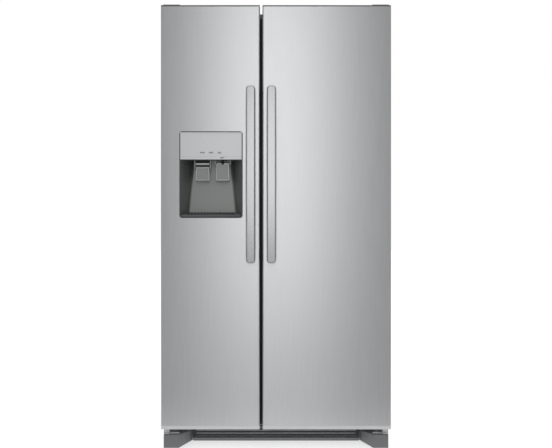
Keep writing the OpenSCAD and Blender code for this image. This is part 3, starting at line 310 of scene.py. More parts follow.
def drawn_metal(name, code, rough, scale):
    """A drawn or milled metal whose colour and polish drift a little."""
    made, tree, place = start(name, Metallic=1.0)
    drift = add(tree, "ShaderNodeTexNoise", Vector=place, Scale=scale, Detail=3.0).outputs[0]
    colour = add(tree, "ShaderNodeMix", {"data_type": "RGBA"}, _0=drift, _6=linear(code, 0.6),
                 _7=linear(code)).outputs[2]
    polish = add(tree, "ShaderNodeMapRange", Value=drift, To_Min=rough, To_Max=rough + 0.18).outputs[0]
    relief = add(tree, "ShaderNodeBump", Height=drift, Strength=0.05, Distance=0.0003).outputs[0]
    feed(tree, Base_Color=colour, Roughness=polish, Normal=relief)
    return made


def cell_foam():
    """Rigid polyurethane foam: straw coloured, dry and pitted with 2 mm cells."""
    made, tree, place = start("cell_foam", Roughness=0.9)
    cell = add(tree, "ShaderNodeTexVoronoi", Vector=place, Scale=500.0).outputs[0]
    colour = add(tree, "ShaderNodeMix", {"data_type": "RGBA"}, _0=cell, _6=linear("#C9B67C"),
                 _7=linear("#E6D7A3")).outputs[2]
    relief = add(tree, "ShaderNodeBump", Height=cell, Strength=0.6, Distance=0.0006).outputs[0]
    feed(tree, Base_Color=colour, Normal=relief)
    return made


def seamless_paper():
    """Seamless studio sheet: pale and satin, with a painted glow in its own colour behind and beside the
    refrigerator.
    """
    made, tree, place = start("seamless_paper", Roughness=0.3, Specular_IOR_Level=0.5)
    tooth = add(tree, "ShaderNodeTexNoise", Vector=place, Scale=300.0).outputs[0]
    colour = add(tree, "ShaderNodeMix", {"data_type": "RGBA"}, _0=tooth, _6=linear(colours().floor, 0.96),
                 _7=linear(colours().floor)).outputs[2]
    split = add(tree, "ShaderNodeSeparateXYZ", Vector=place)
    # Painted glow: the floor shines in its own colour, though it is no lamp, from none 1 m in front of the middle
    # to full from 0.3 m in front backwards
    behind = add(tree, "ShaderNodeMapRange", {"interpolation_type": "SMOOTHSTEP"}, Value=split.outputs["Y"],
                 From_Min=-1.0, From_Max=-0.3, To_Min=0.0, To_Max=1.0).outputs[0]
    # No painted glow under the refrigerator, which stands in its own shade there: how far a point lies past that
    # patch, a centre and a half size each way
    patch = {"X": (0.0, CAD_BOX[1][0]), "Y": (0.11, 0.31)}
    sides = []
    for axis, (centre, half) in patch.items():
        off = add(tree, "ShaderNodeMath", {"operation": "SUBTRACT"}, _0=split.outputs[axis], _1=centre).outputs[0]
        off = add(tree, "ShaderNodeMath", {"operation": "ABSOLUTE"}, _0=off).outputs[0]
        sides.append(add(tree, "ShaderNodeMath", {"operation": "SUBTRACT"}, _0=off, _1=half).outputs[0])
    past = add(tree, "ShaderNodeMath", {"operation": "MAXIMUM"}, _0=sides[0], _1=sides[1]).outputs[0]
    outside = add(tree, "ShaderNodeMapRange", Value=past, From_Min=-0.06, From_Max=-0.01).outputs[0]
    painted_glow = add(tree, "ShaderNodeMath", {"operation": "MULTIPLY"}, _0=behind, _1=outside).outputs[0]
    feed(tree, Base_Color=colour, Emission_Color=colour, Emission_Strength=painted_glow)
    return made


MAKERS = {
    "stainless_skin": brushed_stainless,
    "handle_steel": satin_stainless,
    "painted_steel": textured_enamel,
    "zinc_steel": zinc_plate,
    "grey_plastic": lambda: moulded("grey_abs", colours().trim, 0.45, 0.6, 0.25),
    "bezel_plastic": lambda: moulded("dark_grey_abs", colours().bezel, 0.4, 0.5, 0.15),
    "recess_plastic": lambda: lacquered("grey_lacquered_abs", colours().recess, 0.75, 0.4),
    "paddle_plastic": lambda: lacquered("paddle_lacquered_abs", colours().paddle, 0.6, 0.3),
    "mark_ink": lambda: moulded("pad_printed_ink", colours().mark, 0.5, 0.3, 0.05),
    "panel_plastic": lambda: lacquered("silver_lacquered_abs", colours().panel, 0.8, 0.38),
    "white_liner": formed_liner,
    "clear_plastic": clear_styrene,
    "black_plastic": lambda: moulded("black_abs", colours().black, 0.5, 0.6, 0.3),
    "foam": cell_foam,
    "tempered_glass": tempered_glass,
    "gasket_rubber": soft_gasket,
    "copper_tube": lambda: drawn_metal("drawn_copper", "#C98B5C", 0.25, 30.0),
    "aluminium_fins": lambda: drawn_metal("fin_aluminium", "#D6D8DA", 0.3, 60.0),
    "black_steel": lambda: moulded("black_enamel", "#141516", 0.22, 1.2, 0.1),
    "roller_plastic": lambda: moulded("black_nylon", "#232425", 0.35, 0.8, 0.15),
    "studio_floor": seamless_paper,
}
MADE = {}


def finish_of(key):
    """The material for a finish, made when it is first asked for."""
    if key not in MADE:
        MADE[key] = MAKERS[key]()
    return MADE[key]


def dress(obj, key, other=None, test=None):
    """Gives a piece one finish all over, and another on the faces that pass a test."""
    obj.data.materials.clear()
    obj.data.materials.append(finish_of(key))
    if other:
        obj.data.materials.append(finish_of(other))
    for face in obj.data.polygons:
        face.material_index = 1 if other and test(face) else 0


# ---- Modelling ----


# Edges that turn by more than this are rounded
BEND = math.radians(40)
# Shading breaks at edges that turn by more than this
CREASE = math.radians(35)
# Faces that turn by less than this are one flat
FLAT = math.radians(1)
# Vertices closer than this are one
WELD = 0.00002
# Cosine of the angle within which an edge or a normal runs along an axis
PARALLEL = 0.999
# Sides of a round piece
ROUND_SIDES = 24
# A printed mark or a lens stands this far out of its face
PROUD = 0.02 * MM


def only(obj):
    """Selects one object and nothing else."""
    bpy.ops.object.select_all(action="DESELECT")
    obj.select_set(True)
    bpy.context.view_layer.objects.active = obj


def block(name, low, high):
    """A box between two corners, as a start for shaping."""
    low, high = Vector(low), Vector(high)
    bpy.ops.object.select_all(action="DESELECT")
    bpy.ops.mesh.primitive_cube_add(size=1.0, location=(low + high) / 2)
    obj = bpy.context.object
    obj.name = name
    obj.data.name = name
    bpy.ops.transform.resize(value=high - low)
    bpy.ops.object.transform_apply(location=True, rotation=True, scale=True)
    return obj


def disc(name, centre, radius, depth, axis):
    """A round slab on an axis, 0 to 2, as a start for shaping."""
    turn = {0: (0, math.pi / 2, 0), 1: (math.pi / 2, 0, 0), 2: (0, 0, 0)}[axis]
    bpy.ops.object.select_all(action="DESELECT")
    bpy.ops.mesh.primitive_cylinder_add(vertices=ROUND_SIDES, radius=radius, depth=depth, location=centre,
                                        rotation=turn)
    obj = bpy.context.object
    obj.name = name
    obj.data.name = name
    bpy.ops.object.transform_apply(location=True, rotation=True, scale=True)
    return obj


def pick(obj, kind, test):
    """Enters edit mode with just the faces or edges that pass the test selected; returns how many."""
    only(obj)
    bpy.ops.object.mode_set(mode="EDIT")
    bpy.ops.mesh.select_mode(type=kind)
    bpy.ops.mesh.select_all(action="DESELECT")
    work = bmesh.from_edit_mesh(obj.data)
    found = [e for e in (work.faces if kind == "FACE" else work.edges) if test(e)]
    for e in found:
        e.select_set(True)
    work.select_flush_mode()
    bmesh.update_edit_mesh(obj.data)
    return len(found)


def leave():
    """Leaves edit mode."""
    bpy.ops.object.mode_set(mode="OBJECT")


def runs(axis):
    """A test for edges that run along an axis, 0 to 2."""
    def test(edge):
        along = (edge.verts[0].co - edge.verts[1].co).normalized()
        return abs(along[axis]) > PARALLEL
    return test


def faces(axis, sign):
    """A test for faces whose normal points along an axis."""
    return lambda face: face.normal[axis] * sign > PARALLEL


def round_edges(obj, test, radius, segments=4):
    """Rounds the edges that pass the test."""
    if pick(obj, "EDGE", test):
        bpy.ops.mesh.bevel(offset=radius, segments=segments, profile=0.5, affect="EDGES", clamp_overlap=True)
    leave()


def slice_at(obj, axis, place):
    """Adds a ring of edges round a piece where a plane across an axis meets it."""
    only(obj)
    bpy.ops.object.mode_set(mode="EDIT")
    bpy.ops.mesh.select_all(action="SELECT")
    across = [1.0 if i == axis else 0.0 for i in range(3)]
    bpy.ops.mesh.bisect(plane_co=[place * a for a in across], plane_no=across)
    leave()


def modifier(obj, kind, **settings):
    """Adds a modifier and applies it."""
    only(obj)
    made = obj.modifiers.new(kind.lower(), kind)
    for key, value in settings.items():
        setattr(made, key, value)
    bpy.ops.object.modifier_apply(modifier=made.name)


def soften(obj, radius, segments=2):
    """A small radius on every sharp edge, then smooth shading with true flats."""
    modifier(obj, "BEVEL", width=radius, segments=segments, limit_method="ANGLE", angle_limit=BEND,
             use_clamp_overlap=True)
    only(obj)
    bpy.ops.object.shade_smooth_by_angle(angle=CREASE)
    modifier(obj, "WEIGHTED_NORMAL", mode="FACE_AREA", weight=100, keep_sharp=True)


def cut(obj, tool):
    """Cuts a tool's shape out of a piece and removes the tool."""
    modifier(obj, "BOOLEAN", operation="DIFFERENCE", object=tool, solver="EXACT")
    bpy.data.objects.remove(tool, do_unlink=True)


def merge(pieces, name):
    """Joins pieces into one."""
    bpy.ops.object.select_all(action="DESELECT")
    for piece in pieces:
        piece.select_set(True)
    bpy.context.view_layer.objects.active = pieces[0]
    bpy.ops.object.join()
    pieces[0].name = name
    pieces[0].data.name = name
    return pieces[0]


def settle(obj, body, key, replaces=(), other=None, test=None):
    """Finishes a piece: its finish, its body and the nodes it stands for."""
    dress(obj, key, other, test)
    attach(obj, body)
    if replaces:
        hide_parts(*replaces)


def copy_node(node, name):
    """A merged copy of a CAD node's mesh, with its flat areas cleaned of triangles."""
    mesh = NODES[node].data.copy()
    obj = bpy.data.objects.new(name, mesh)
    mesh.name = name
    bpy.context.scene.collection.objects.link(obj)
    only(obj)
    bpy.ops.object.mode_set(mode="EDIT")
    bpy.ops.mesh.select_all(action="SELECT")
    bpy.ops.mesh.remove_doubles(threshold=WELD)
    bpy.ops.mesh.dissolve_limited(angle_limit=FLAT)
    leave()
    return obj


def corners(node):
    """A node's lowest and highest corners at rest."""
    low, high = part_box(node)
    return Vector(low), Vector(high)


def form(radii):
    """Copies nodes whose CAD shape is right, and gives each the edge radius, in millimetres, that it has."""
    for node, radius in radii.items():
        piece = copy_node(node, f"{node}_formed")
        soften(piece, radius * MM)
        settle(piece, BODY_OF[node], SLOT_OF[node], [node])


def screws(name, places, axis):
    """The cabinet's pan head screws, facing along axis 1 or 2, with cross slots: one modelled, the rest copied."""
    radius = sizes().screw_head
    height = 2.0 * MM
    dome = 0.9 * MM
    slot_length, slot_width, slot_depth = radius * 0.6, 0.5 * MM, 0.8 * MM
    heads = []
    for place in places:
        at = Vector(place)
        if heads:
            only(heads[0])
            bpy.ops.object.duplicate()
            head = bpy.context.object
            head.data.transform(Matrix.Translation(at - Vector(places[0])))
        else:
            centre = at.copy()
            centre[axis] += height / 2
            head = disc(name, centre, radius, height, axis)
            top = centre[axis] + dome
            round_edges(head, lambda e: all(v.co[axis] > top for v in e.verts), dome, 3)
            for thin in (i for i in range(3) if i != axis):
                half = [slot_length] * 3
                half[thin] = slot_width
                half[axis] = slot_depth
                middle = centre.copy()
                middle[axis] += dome
                cut(head, block("slot_tool", middle - Vector(half), middle + Vector(half)))
        heads.append(head)
    group = merge(heads, name)
    bpy.ops.object.shade_smooth_by_angle(angle=CREASE)
    settle(group, "cabinet", "zinc_steel")


# ---- Doors ----


class FRIDGE_OT_door_skins(bpy.types.Operator):
    """Both brushed door skins, folded pans open at the back, the freezer's with the dispenser's cut-out"""
    bl_idname = "fridge.door_skins"
    bl_label = "Door skins"

    def execute(self, context):
        """Makes both skins."""
        s = sizes()
        for side in ("freezer", "fridge"):
            low, high = corners(f"{side}_door_skin")
            pan = block(f"{side}_skin_brushed", low, high)
            pick(pan, "FACE", lambda f: abs(f.normal.z) > PARALLEL or f.normal.y > PARALLEL)
            bpy.ops.mesh.delete(type="FACE")
            leave()
            front = low.y + 0.5 * MM
            round_edges(pan, lambda e: runs(2)(e) and all(v.co.y < front for v in e.verts), s.skin_edge, 8)
            modifier(pan, "SOLIDIFY", thickness=s.skin_sheet, offset=-1)
            if side == "freezer":
                d_low, d_high = corners("dispenser_housing")
                gap = 0.3 * MM
                reach = 5 * MM
                tool = block("cut_out", (d_low.x - gap, low.y - reach, d_low.z - gap),
                             (d_high.x + gap, low.y + reach, d_high.z + gap))
                round_edges(tool, runs(1), s.outline, 8)
                cut(pan, tool)
            soften(pan, s.sheet_edge)
            settle(pan, f"{side}_door", "stainless_skin", [f"{side}_door_skin"])
        return {"FINISHED"}


class FRIDGE_OT_door_caps(bpy.types.Operator):
    """Moulded caps on the top and bottom edges of both doors"""
    bl_idname = "fridge.door_caps"
    bl_label = "Door caps"

    def execute(self, context):
        """Makes both pairs of caps: the bottom caps silver, the top caps a darker grey."""
        for side in ("freezer", "fridge"):
            node = f"{side}_door_caps"
            low, high = corners(node)
            middle = (low.z + high.z) / 2
            caps = copy_node(node, f"{node}_formed")
            soften(caps, 0.7 * MM)
            settle(caps, f"{side}_door", "grey_plastic", [node], "panel_plastic",
                   lambda f: f.center.z < middle)
        return {"FINISHED"}


class FRIDGE_OT_handles(bpy.types.Operator):
    """Both bowed bar handles, each with two end posts"""
    bl_idname = "fridge.handles"
    bl_label = "Handles"

    def execute(self, context):
        """Makes both handles."""
        s = sizes()
        for side in ("freezer", "fridge"):
            low, high = corners(f"{side}_handle")
            middle = (low + high) / 2
            half = (high.z - low.z) / 2
            bar = block(f"{side}_handle_bar", low, (high.x, low.y + s.handle_bar, high.z))
            # Round ends, then rings along the bar for the bow to follow
            round_edges(bar, runs(1), s.handle_end, 8)
            rings = 40
            for i in range(1, rings):
                slice_at(bar, 2, low.z + 2 * half * i / rings)
            front = low.y + 0.1 * MM
            round_edges(bar, lambda e: all(v.co.y < front for v in e.verts) and e.calc_face_angle(0) > 1,
                        s.handle_edge, 6)
            # The bow is a bend about a line across the door, through the middle of the bar's front
            only(bar)
            context.scene.cursor.location = (middle.x, low.y, middle.z)
            bpy.ops.object.origin_set(type="ORIGIN_CURSOR")
            radius = (half * half + s.handle_bow ** 2) / (2 * s.handle_bow)
            modifier(bar, "SIMPLE_DEFORM", deform_method="BEND", deform_axis="X",
                     angle=2 * math.asin(half / radius))
            bpy.ops.object.transform_apply(location=True, rotation=True, scale=True)
            # Each post stands in from the bar's end and sides, and its front is sunk in the bar
            end_gap, side_gap, sunk = 3 * MM, 5 * MM, 4 * MM
            post_length, post_corner = 34 * MM, 9 * MM
            posts = []
            for z in (low.z + end_gap, high.z - end_gap - post_length):
                post = block("post", (low.x + side_gap, low.y + s.handle_bow + sunk, z),
                             (high.x - side_gap, high.y, z + post_length))
                round_edges(post, runs(1), post_corner, 6)
                posts.append(post)
            handle = merge([bar] + posts, f"{side}_handle_bar")
            soften(handle, 0.6 * MM)
            settle(handle, f"{side}_door", "handle_steel", [f"{side}_handle"])
        return {"FINISHED"}


class FRIDGE_OT_door_inners(bpy.types.Operator):
    """Door liners and their magnetic gaskets"""
    bl_idname = "fridge.door_inners"
    bl_label = "Door liners and gaskets"

    def execute(self, context):
        """Makes the liners, and gaskets with a bellows groove along their outer sides."""
        form({"freezer_door_liner": 1.1, "fridge_door_liner": 1.1})
        for side in ("freezer", "fridge"):
            node = f"{side}_door_gasket"
            low, high = corners(node)
            ring = copy_node(node, f"{node}_bellows")
            middle = (low.y + high.y) / 2
            half = 1.6 * MM
            deep = 2.5 * MM
            groove = block("groove", (low.x - deep, middle - half, low.z - deep),
                           (high.x + deep, middle + half, high.z + deep))
            # The tool's middle is taken out, so that it grooves the outer sides only
            inside = block("inside", (low.x + deep, middle - 2 * half, low.z + deep),
                           (high.x - deep, middle + 2 * half, high.z - deep))
            cut(groove, inside)
            cut(ring, groove)
            soften(ring, 0.9 * MM)
            settle(ring, f"{side}_door", "gasket_rubber", [node])
        return {"FINISHED"}


# ---- Dispenser ----


class FRIDGE_OT_dispenser_moulding(bpy.types.Operator):
    """Dispenser moulding: dark rim and tapered recess with soft inner corners"""
    bl_idname = "fridge.dispenser_moulding"
    bl_label = "Dispenser moulding"

    def execute(self, context):
        """Makes the moulding from the CAD shape, with its edges rounded."""
        low, high = corners("dispenser_housing")
        housing = copy_node("dispenser_housing", "dispenser_recess_moulding")
        # The recess's upright back corners are well rounded; its sides taper, so they aren't quite upright
        back = high.y - 3 * MM
        near = 0.6 * MM
        upright = 0.9
        corner = 9 * MM
        round_edges(housing, lambda e: all(abs(v.co.y - back) < near for v in e.verts)
                    and abs((e.verts[0].co - e.verts[1].co).normalized().z) > upright, corner, 6)
        soften(housing, 0.9 * MM, 3)
        rim = low.y + 2.2 * MM
        settle(housing, "freezer_door", "recess_plastic", ["dispenser_housing"],
               "bezel_plastic", lambda f: f.center.y < rim)
        return {"FINISHED"}


class FRIDGE_OT_control_panel(bpy.types.Operator):
    """Silver control panel with a crease above its lip"""
    bl_idname = "fridge.control_panel"
    bl_label = "Control panel"

    def execute(self, context):
        """Makes the panel."""
        low, high = corners("dispenser_panel")
        panel = copy_node("dispenser_panel", "control_panel_face")
        crease, crease_depth, crease_height = low.z + 10 * MM, 1.1 * MM, 1.6 * MM
        cut(panel, block("crease", (low.x - MM, low.y - MM, crease),
                         (high.x + MM, low.y + crease_depth, crease + crease_height)))
        # A shallow step along the top, where the panel meets the rim
        step, step_depth, step_height = high.z - 6 * MM, 0.5 * MM, 0.8 * MM
        cut(panel, block("step", (low.x - MM, low.y - MM, step),
                         (high.x + MM, low.y + step_depth, step + step_height)))
        soften(panel, 0.8 * MM, 3)
        settle(panel, "freezer_door", "panel_plastic", ["dispenser_panel"])
        # The light's small lens sits in the lip, over the water paddle
        water_low, water_high = corners("water_paddle")
        middle = (water_low.x + water_high.x) / 2
        half, thick, end = 7 * MM, 1.2 * MM, 1.7 * MM
        lens = block("panel_lens", (middle - half, low.y - PROUD, low.z + 4.5 * MM),
                     (middle + half, low.y + thick, low.z + 8 * MM))
        round_edges(lens, runs(1), end, 5)
        settle(lens, "freezer_door", "mark_ink")
        return {"FINISHED"}


class FRIDGE_OT_panel_buttons(bpy.types.Operator):
    """Three silver buttons, each with a plain printed bar"""
    bl_idname = "fridge.panel_buttons"
    bl_label = "Panel buttons"

    def execute(self, context):
        """Makes the buttons and their bars."""
        for side, length in (("left", 17 * MM), ("middle", 17 * MM), ("right", 11 * MM)):
            node = f"panel_button_{side}"
            low, high = corners(node)
            cap = copy_node(node, f"{node}_cap")
            soften(cap, 0.6 * MM, 3)
            settle(cap, node, "panel_plastic", [node])
            middle = (low + high) / 2
            half = length / 2
            half_height, thick, end = 1.4 * MM, 0.4 * MM, 0.8 * MM
            bar = block(f"{node}_mark", (middle.x - half, low.y - PROUD, middle.z - half_height),
                        (middle.x + half, low.y + thick, middle.z + half_height))
            round_edges(bar, runs(1), end, 4)
            settle(bar, node, "mark_ink")
        return {"FINISHED"}


class FRIDGE_OT_paddles(bpy.types.Operator):
    """Ice and water paddles: flared plates with raised rims, hung from their pins"""
    bl_idname = "fridge.paddles"
    bl_label = "Paddles"

    def execute(self, context):
        """Makes both paddles."""
        for node in ("ice_paddle", "water_paddle"):
            low, high = corners(node)
            # The pin is this thick, and runs as far past the plate at both sides
            pin = 4 * MM
            # Radius of the barrel round it
            barrel = 4 * MM
            left, right = low.x + pin, high.x - pin
            rod_z = high.z - barrel
            rod_y = high.y - barrel
            behind = 2 * MM
            plate = block(f"{node}_plate", (left, low.y, low.z), (right, rod_y + behind, rod_z))
            # Narrower towards the pin
            taper = 3 * MM
            for v in plate.data.vertices:
                if v.co.z > (low.z + rod_z) / 2:
                    v.co.x += taper if v.co.x < (left + right) / 2 else -taper
            foot_corner, rim_width, dish = 7 * MM, 5 * MM, 4 * MM
            round_edges(plate, lambda e: runs(1)(e) and all(v.co.z < low.z + MM for v in e.verts), foot_corner, 6)
            pick(plate, "FACE", faces(1, -1))
            bpy.ops.mesh.inset(thickness=rim_width)
            bpy.ops.mesh.extrude_region_move(TRANSFORM_OT_translate={"value": (0, dish, 0)})
            leave()
            bar = disc("barrel", ((left + right) / 2, rod_y, rod_z), barrel, right - left - 2 * taper, 0)
            stub = disc("pin", ((left + right) / 2, rod_y, rod_z), pin / 2, high.x - low.x, 0)
            paddle = merge([plate, bar, stub], f"{node}_plate")
            soften(paddle, 0.8 * MM, 3)
            # The raised rims take the lighter paddle lacquer as a painted highlight; the dished plate takes the
            # recess lacquer
            rim = low.y + 2 * MM
            settle(paddle, node, "recess_plastic", [node], "paddle_plastic",
                   lambda f: f.center.y < rim)
        return {"FINISHED"}


class FRIDGE_OT_dispenser_fittings(bpy.types.Operator):
    """Ice chute with its pale lip, water nozzle and slotted drip tray"""
    bl_idname = "fridge.dispenser_fittings"
    bl_label = "Dispenser fittings"

    def execute(self, context):
        """Makes the fittings."""
        form({"ice_chute": 0.7, "dispenser_tray": 0.5, "water_nozzle": 0.5})
        low, high = corners("ice_chute")
        # The lip stands before the chute's lower end, clear of the paddle's ears
        middle = (low.x + high.x) / 2
        half, before, behind, height = 27 * MM, 1.2 * MM, 1.5 * MM, 6 * MM
        lip = block("ice_chute_lip", (middle - half, low.y - before, low.z),
                    (middle + half, low.y + behind, low.z + height))
        round_edges(lip, runs(0), before, 4)
        soften(lip, 0.3 * MM)
        settle(lip, "freezer_door", "panel_plastic")
        return {"FINISHED"}


# ---- Base ----


class FRIDGE_OT_toe_grille(bpy.types.Operator):
    """Louvred toe grille: black louvres as painted shade for the dark space behind them, and a grey bar along its
    foot
    """
    bl_idname = "fridge.toe_grille"
    bl_label = "Toe grille"

    def execute(self, context):
        """Makes the grille."""
        bar = corners("toe_grille")[0].z + 12 * MM
        grille = copy_node("toe_grille", "toe_grille_louvres")
        slice_at(grille, 2, bar)
        soften(grille, 0.6 * MM)
        # The louvres are black as painted shade, standing in for the dark inside the base; the bar along the foot
        # is grey
        settle(grille, "cabinet", "black_plastic", ["toe_grille"], "grey_plastic",
               lambda f: f.center.z < bar)
        return {"FINISHED"}


class FRIDGE_OT_base(bpy.types.Operator):
    """Leg covers, levelling legs and rear rollers"""
    bl_idname = "fridge.base"
    bl_label = "Leg covers, legs and rollers"

    def execute(self, context):
        """Makes the base's outer parts."""
        form({"leg_covers": 2.0, "levelling_leg_left": 0.8, "levelling_leg_right": 0.8, "rear_rollers": 1.0})
        return {"FINISHED"}


# ---- Cabinet ----


class FRIDGE_OT_cabinet_shell(bpy.types.Operator):
    """Folded steel cabinet, mullion cover and rear cover"""
    bl_idname = "fridge.cabinet_shell"
    bl_label = "Cabinet shell"

    def execute(self, context):
        """Makes the cabinet's outer parts."""
        # The mullion cover takes its slot's black finish, a dark sheet as painted shade in the gap between the
        # doors
        form({"outer_shell": 0.4, "mullion_cover": 0.5, "rear_cover": 0.5})
        low, high = corners("rear_cover")
        in_x, in_z, sunk = 5 * MM, 7 * MM, 1.5 * MM
        spaces = 4
        across = [low.x + in_x + i * (high.x - low.x - 2 * in_x) / spaces for i in range(spaces + 1)]
        face = low.y + sunk
        screws("rear_cover_screws", [(x, face, z) for x in across for z in (low.z + in_z, high.z - in_z)], 1)
        return {"FINISHED"}


class FRIDGE_OT_hinges(bpy.types.Operator):
    """Top and bottom hinge plates, their covers and screws"""
    bl_idname = "fridge.hinges"
    bl_label = "Hinges"

    def execute(self, context):
        """Makes the hinges."""
        form({"top_hinges": 0.4, "bottom_hinges": 0.5})
        low, high = corners("hinge_covers")
        back = high.y - 12 * MM
        side_gap = 33 * MM
        deep = 2.4 * MM
        covers = copy_node("hinge_covers", "hinge_covers_formed")
        places = []
        for x in (low.x + side_gap, high.x - side_gap):
            places.append((x, back, high.z - deep))
            cut(covers, disc("counterbore", (x, back, high.z), sizes().screw_head + MM, 2 * deep, 2))
        soften(covers, 1.0 * MM)
        settle(covers, "cabinet", SLOT_OF["hinge_covers"], ["hinge_covers"])
        screws("hinge_cover_screws", places, 2)
        return {"FINISHED"}


class FRIDGE_OT_compartments(bpy.types.Operator):
    """Both compartments' liners, the evaporator's cover, lamps' lenses and the water filter"""
    bl_idname = "fridge.compartments"
    bl_label = "Compartments"

    def execute(self, context):
        """Makes the compartments."""
        form({"freezer_liner": 1.0, "fridge_liner": 1.0, "evaporator_cover": 0.6, "light_lenses": 1.0,
              "water_filter": 1.0})
        return {"FINISHED"}


class FRIDGE_OT_shelves(bpy.types.Operator):
    """Shelf frames and their glass"""
    bl_idname = "fridge.shelves"
    bl_label = "Shelves"

    def execute(self, context):
        """Makes the shelves."""
        form({"shelf_frames": 1.5, "shelf_glass": 0.6})
        return {"FINISHED"}


class FRIDGE_OT_drawers(bpy.types.Operator):
    """Crispers and freezer basket"""
    bl_idname = "fridge.drawers"
    bl_label = "Drawers"

    def execute(self, context):
        """Makes the drawers."""
        form({"upper_crisper": 1.0, "lower_crisper": 1.0, "freezer_basket": 0.8})
        return {"FINISHED"}


class FRIDGE_OT_door_bins(bpy.types.Operator):
    """Door bins and the dairy lid"""
    bl_idname = "fridge.door_bins"
    bl_label = "Door bins"

    def execute(self, context):
        """Makes the bins."""
        form({"freezer_door_bins": 0.8, "fridge_door_bins": 0.8, "dairy_lid": 0.8})
        return {"FINISHED"}


class FRIDGE_OT_ice_maker(bpy.types.Operator):
    """Ice maker and its bin"""
    bl_idname = "fridge.ice_maker"
    bl_label = "Ice maker"

    def execute(self, context):
        """Makes the ice maker."""
        form({"ice_maker": 1.5, "ice_bin": 1.0})
        return {"FINISHED"}


class FRIDGE_OT_machine_space(bpy.types.Operator):
    """Compressor, drain pan and fans"""
    bl_idname = "fridge.machine_space"
    bl_label = "Machine compartment"

    def execute(self, context):
        """Makes the machine compartment's parts."""
        form({"compressor": 2.0, "drain_pan": 0.6, "condenser_fan": 0.6, "evaporator_fan": 0.6})
        return {"FINISHED"}


class FRIDGE_OT_finishes(bpy.types.Operator):
    """Real finishes on the CAD nodes that stay as they are"""
    bl_idname = "fridge.finishes"
    bl_label = "Finishes"

    def execute(self, context):
        """Assigns each node its slot's finish."""
        for node, obj in NODES.items():
            obj.data.materials.clear()
            obj.data.materials.append(finish_of(SLOT_OF[node]))
        return {"FINISHED"}


# ---- Studio ----


def softbox(name, width, height, place, aim, radiance):
    """A soft rectangular light aimed at a point, with the same brightness all over its face."""
    data = bpy.data.lights.new(name, "AREA")
    data.shape = "RECTANGLE"
    data.size = width
    data.size_y = height
    data.energy = radiance * math.pi * width * height
    obj = bpy.data.objects.new(name, data)
    bpy.context.scene.collection.objects.link(obj)
    obj.location = place
    obj.rotation_euler = (Vector(aim) - Vector(place)).to_track_quat("-Z", "Y").to_euler()


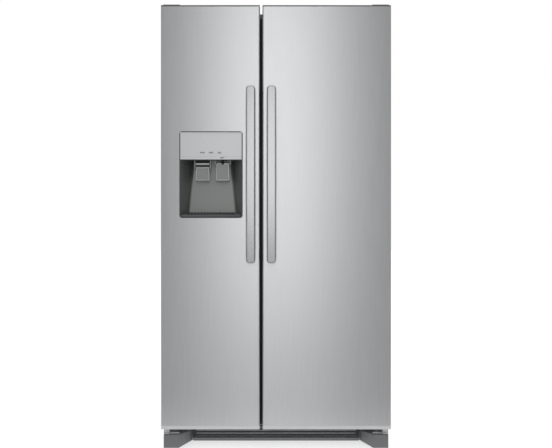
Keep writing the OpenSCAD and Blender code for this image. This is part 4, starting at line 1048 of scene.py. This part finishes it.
class FRIDGE_OT_studio(bpy.types.Operator):
    """Floor, lights, surroundings and camera"""
    bl_idname = "fridge.studio"
    bl_label = "Studio"

    def execute(self, context):
        """Makes the studio."""
        scene = context.scene
        floor_size = 60
        bpy.ops.object.select_all(action="DESELECT")
        bpy.ops.mesh.primitive_plane_add(size=floor_size, location=(0, 0, 0))
        floor = bpy.context.object
        floor.name = "studio_floor"
        bpy.ops.object.transform_apply(location=True, rotation=True, scale=True)
        dress(floor, "studio_floor")
        # Dim surroundings light the object, and the paper behind it is seen as white
        world = bpy.data.worlds.new("studio_surround")
        world.use_nodes = True
        tree = world.node_tree
        seen = add(tree, "ShaderNodeLightPath").outputs["Is Camera Ray"]
        # Dimmest straight in front of the doors, brighter to the sides, above and behind
        dim, bright = 0.2, 0.55
        toward = add(tree, "ShaderNodeTexCoord").outputs["Generated"]
        toward = add(tree, "ShaderNodeSeparateXYZ", Vector=toward).outputs["Y"]
        fill = add(tree, "ShaderNodeMapRange", Value=toward, From_Min=-0.94, From_Max=-0.72, To_Min=dim,
                   To_Max=bright).outputs[0]
        strength = add(tree, "ShaderNodeMapRange", Value=seen, To_Min=fill, To_Max=1.0).outputs[0]
        background = tree.nodes["Background"]
        background.inputs["Color"].default_value = (1, 1, 1, 1)
        tree.links.new(strength, background.inputs["Strength"])
        scene.world = world
        softbox("front_softbox", 1.0, 3.8, (-0.03, -5.6, 2.0), (-0.03, -0.4, 2.0), 2.05)
        softbox("overhead_softbox", 2.6, 2.6, (0, 0.2, 3.6), (0, 0.2, 0), 1.0)
        # The view is level and on the middle line
        door = corners("freezer_door_skin")[0].y
        distance = 4.0
        eye_height = 0.897
        width_seen = 2.199
        camera = bpy.data.cameras.new("camera")
        camera.sensor_width = 36
        camera.lens = camera.sensor_width * distance / width_seen
        eye = bpy.data.objects.new("camera", camera)
        eye.location = (0, door - distance, eye_height)
        eye.rotation_euler = (math.pi / 2, 0, 0)
        scene.collection.objects.link(eye)
        scene.camera = eye
        scene.view_settings.view_transform = "Standard"
        return {"FINISHED"}


OPERATORS = (
    FRIDGE_OT_door_skins,
    FRIDGE_OT_door_caps,
    FRIDGE_OT_handles,
    FRIDGE_OT_door_inners,
    FRIDGE_OT_dispenser_moulding,
    FRIDGE_OT_control_panel,
    FRIDGE_OT_panel_buttons,
    FRIDGE_OT_paddles,
    FRIDGE_OT_dispenser_fittings,
    FRIDGE_OT_toe_grille,
    FRIDGE_OT_base,
    FRIDGE_OT_cabinet_shell,
    FRIDGE_OT_hinges,
    FRIDGE_OT_compartments,
    FRIDGE_OT_shelves,
    FRIDGE_OT_drawers,
    FRIDGE_OT_door_bins,
    FRIDGE_OT_ice_maker,
    FRIDGE_OT_machine_space,
    FRIDGE_OT_finishes,
    FRIDGE_OT_studio,
)


class FRIDGE_PT_builder(bpy.types.Panel):
    """Lists the pieces in the order they are made"""
    bl_idname = "FRIDGE_PT_builder"
    bl_label = "Refrigerator"
    bl_space_type = "VIEW_3D"
    bl_region_type = "UI"
    bl_category = "Refrigerator"

    def draw(self, context):
        """Draws a button for each operator."""
        for operator in OPERATORS:
            self.layout.operator(operator.bl_idname)


CLASSES = (FridgeSizes, FridgeColours, *OPERATORS, FRIDGE_PT_builder)


def register():
    """Registers the classes and their properties."""
    for cls in CLASSES:
        bpy.utils.register_class(cls)
    bpy.types.Scene.fridge_sizes = bpy.props.PointerProperty(type=FridgeSizes)
    bpy.types.Scene.fridge_colours = bpy.props.PointerProperty(type=FridgeColours)


def unregister():
    """Removes the properties and classes."""
    del bpy.types.Scene.fridge_colours
    del bpy.types.Scene.fridge_sizes
    for cls in reversed(CLASSES):
        bpy.utils.unregister_class(cls)


def main():
    """Builds everything in order."""
    register()
    for operator in OPERATORS:
        group, name = operator.bl_idname.split(".")
        getattr(getattr(bpy.ops, group), name)()


if __name__ == "__main__":
    main()
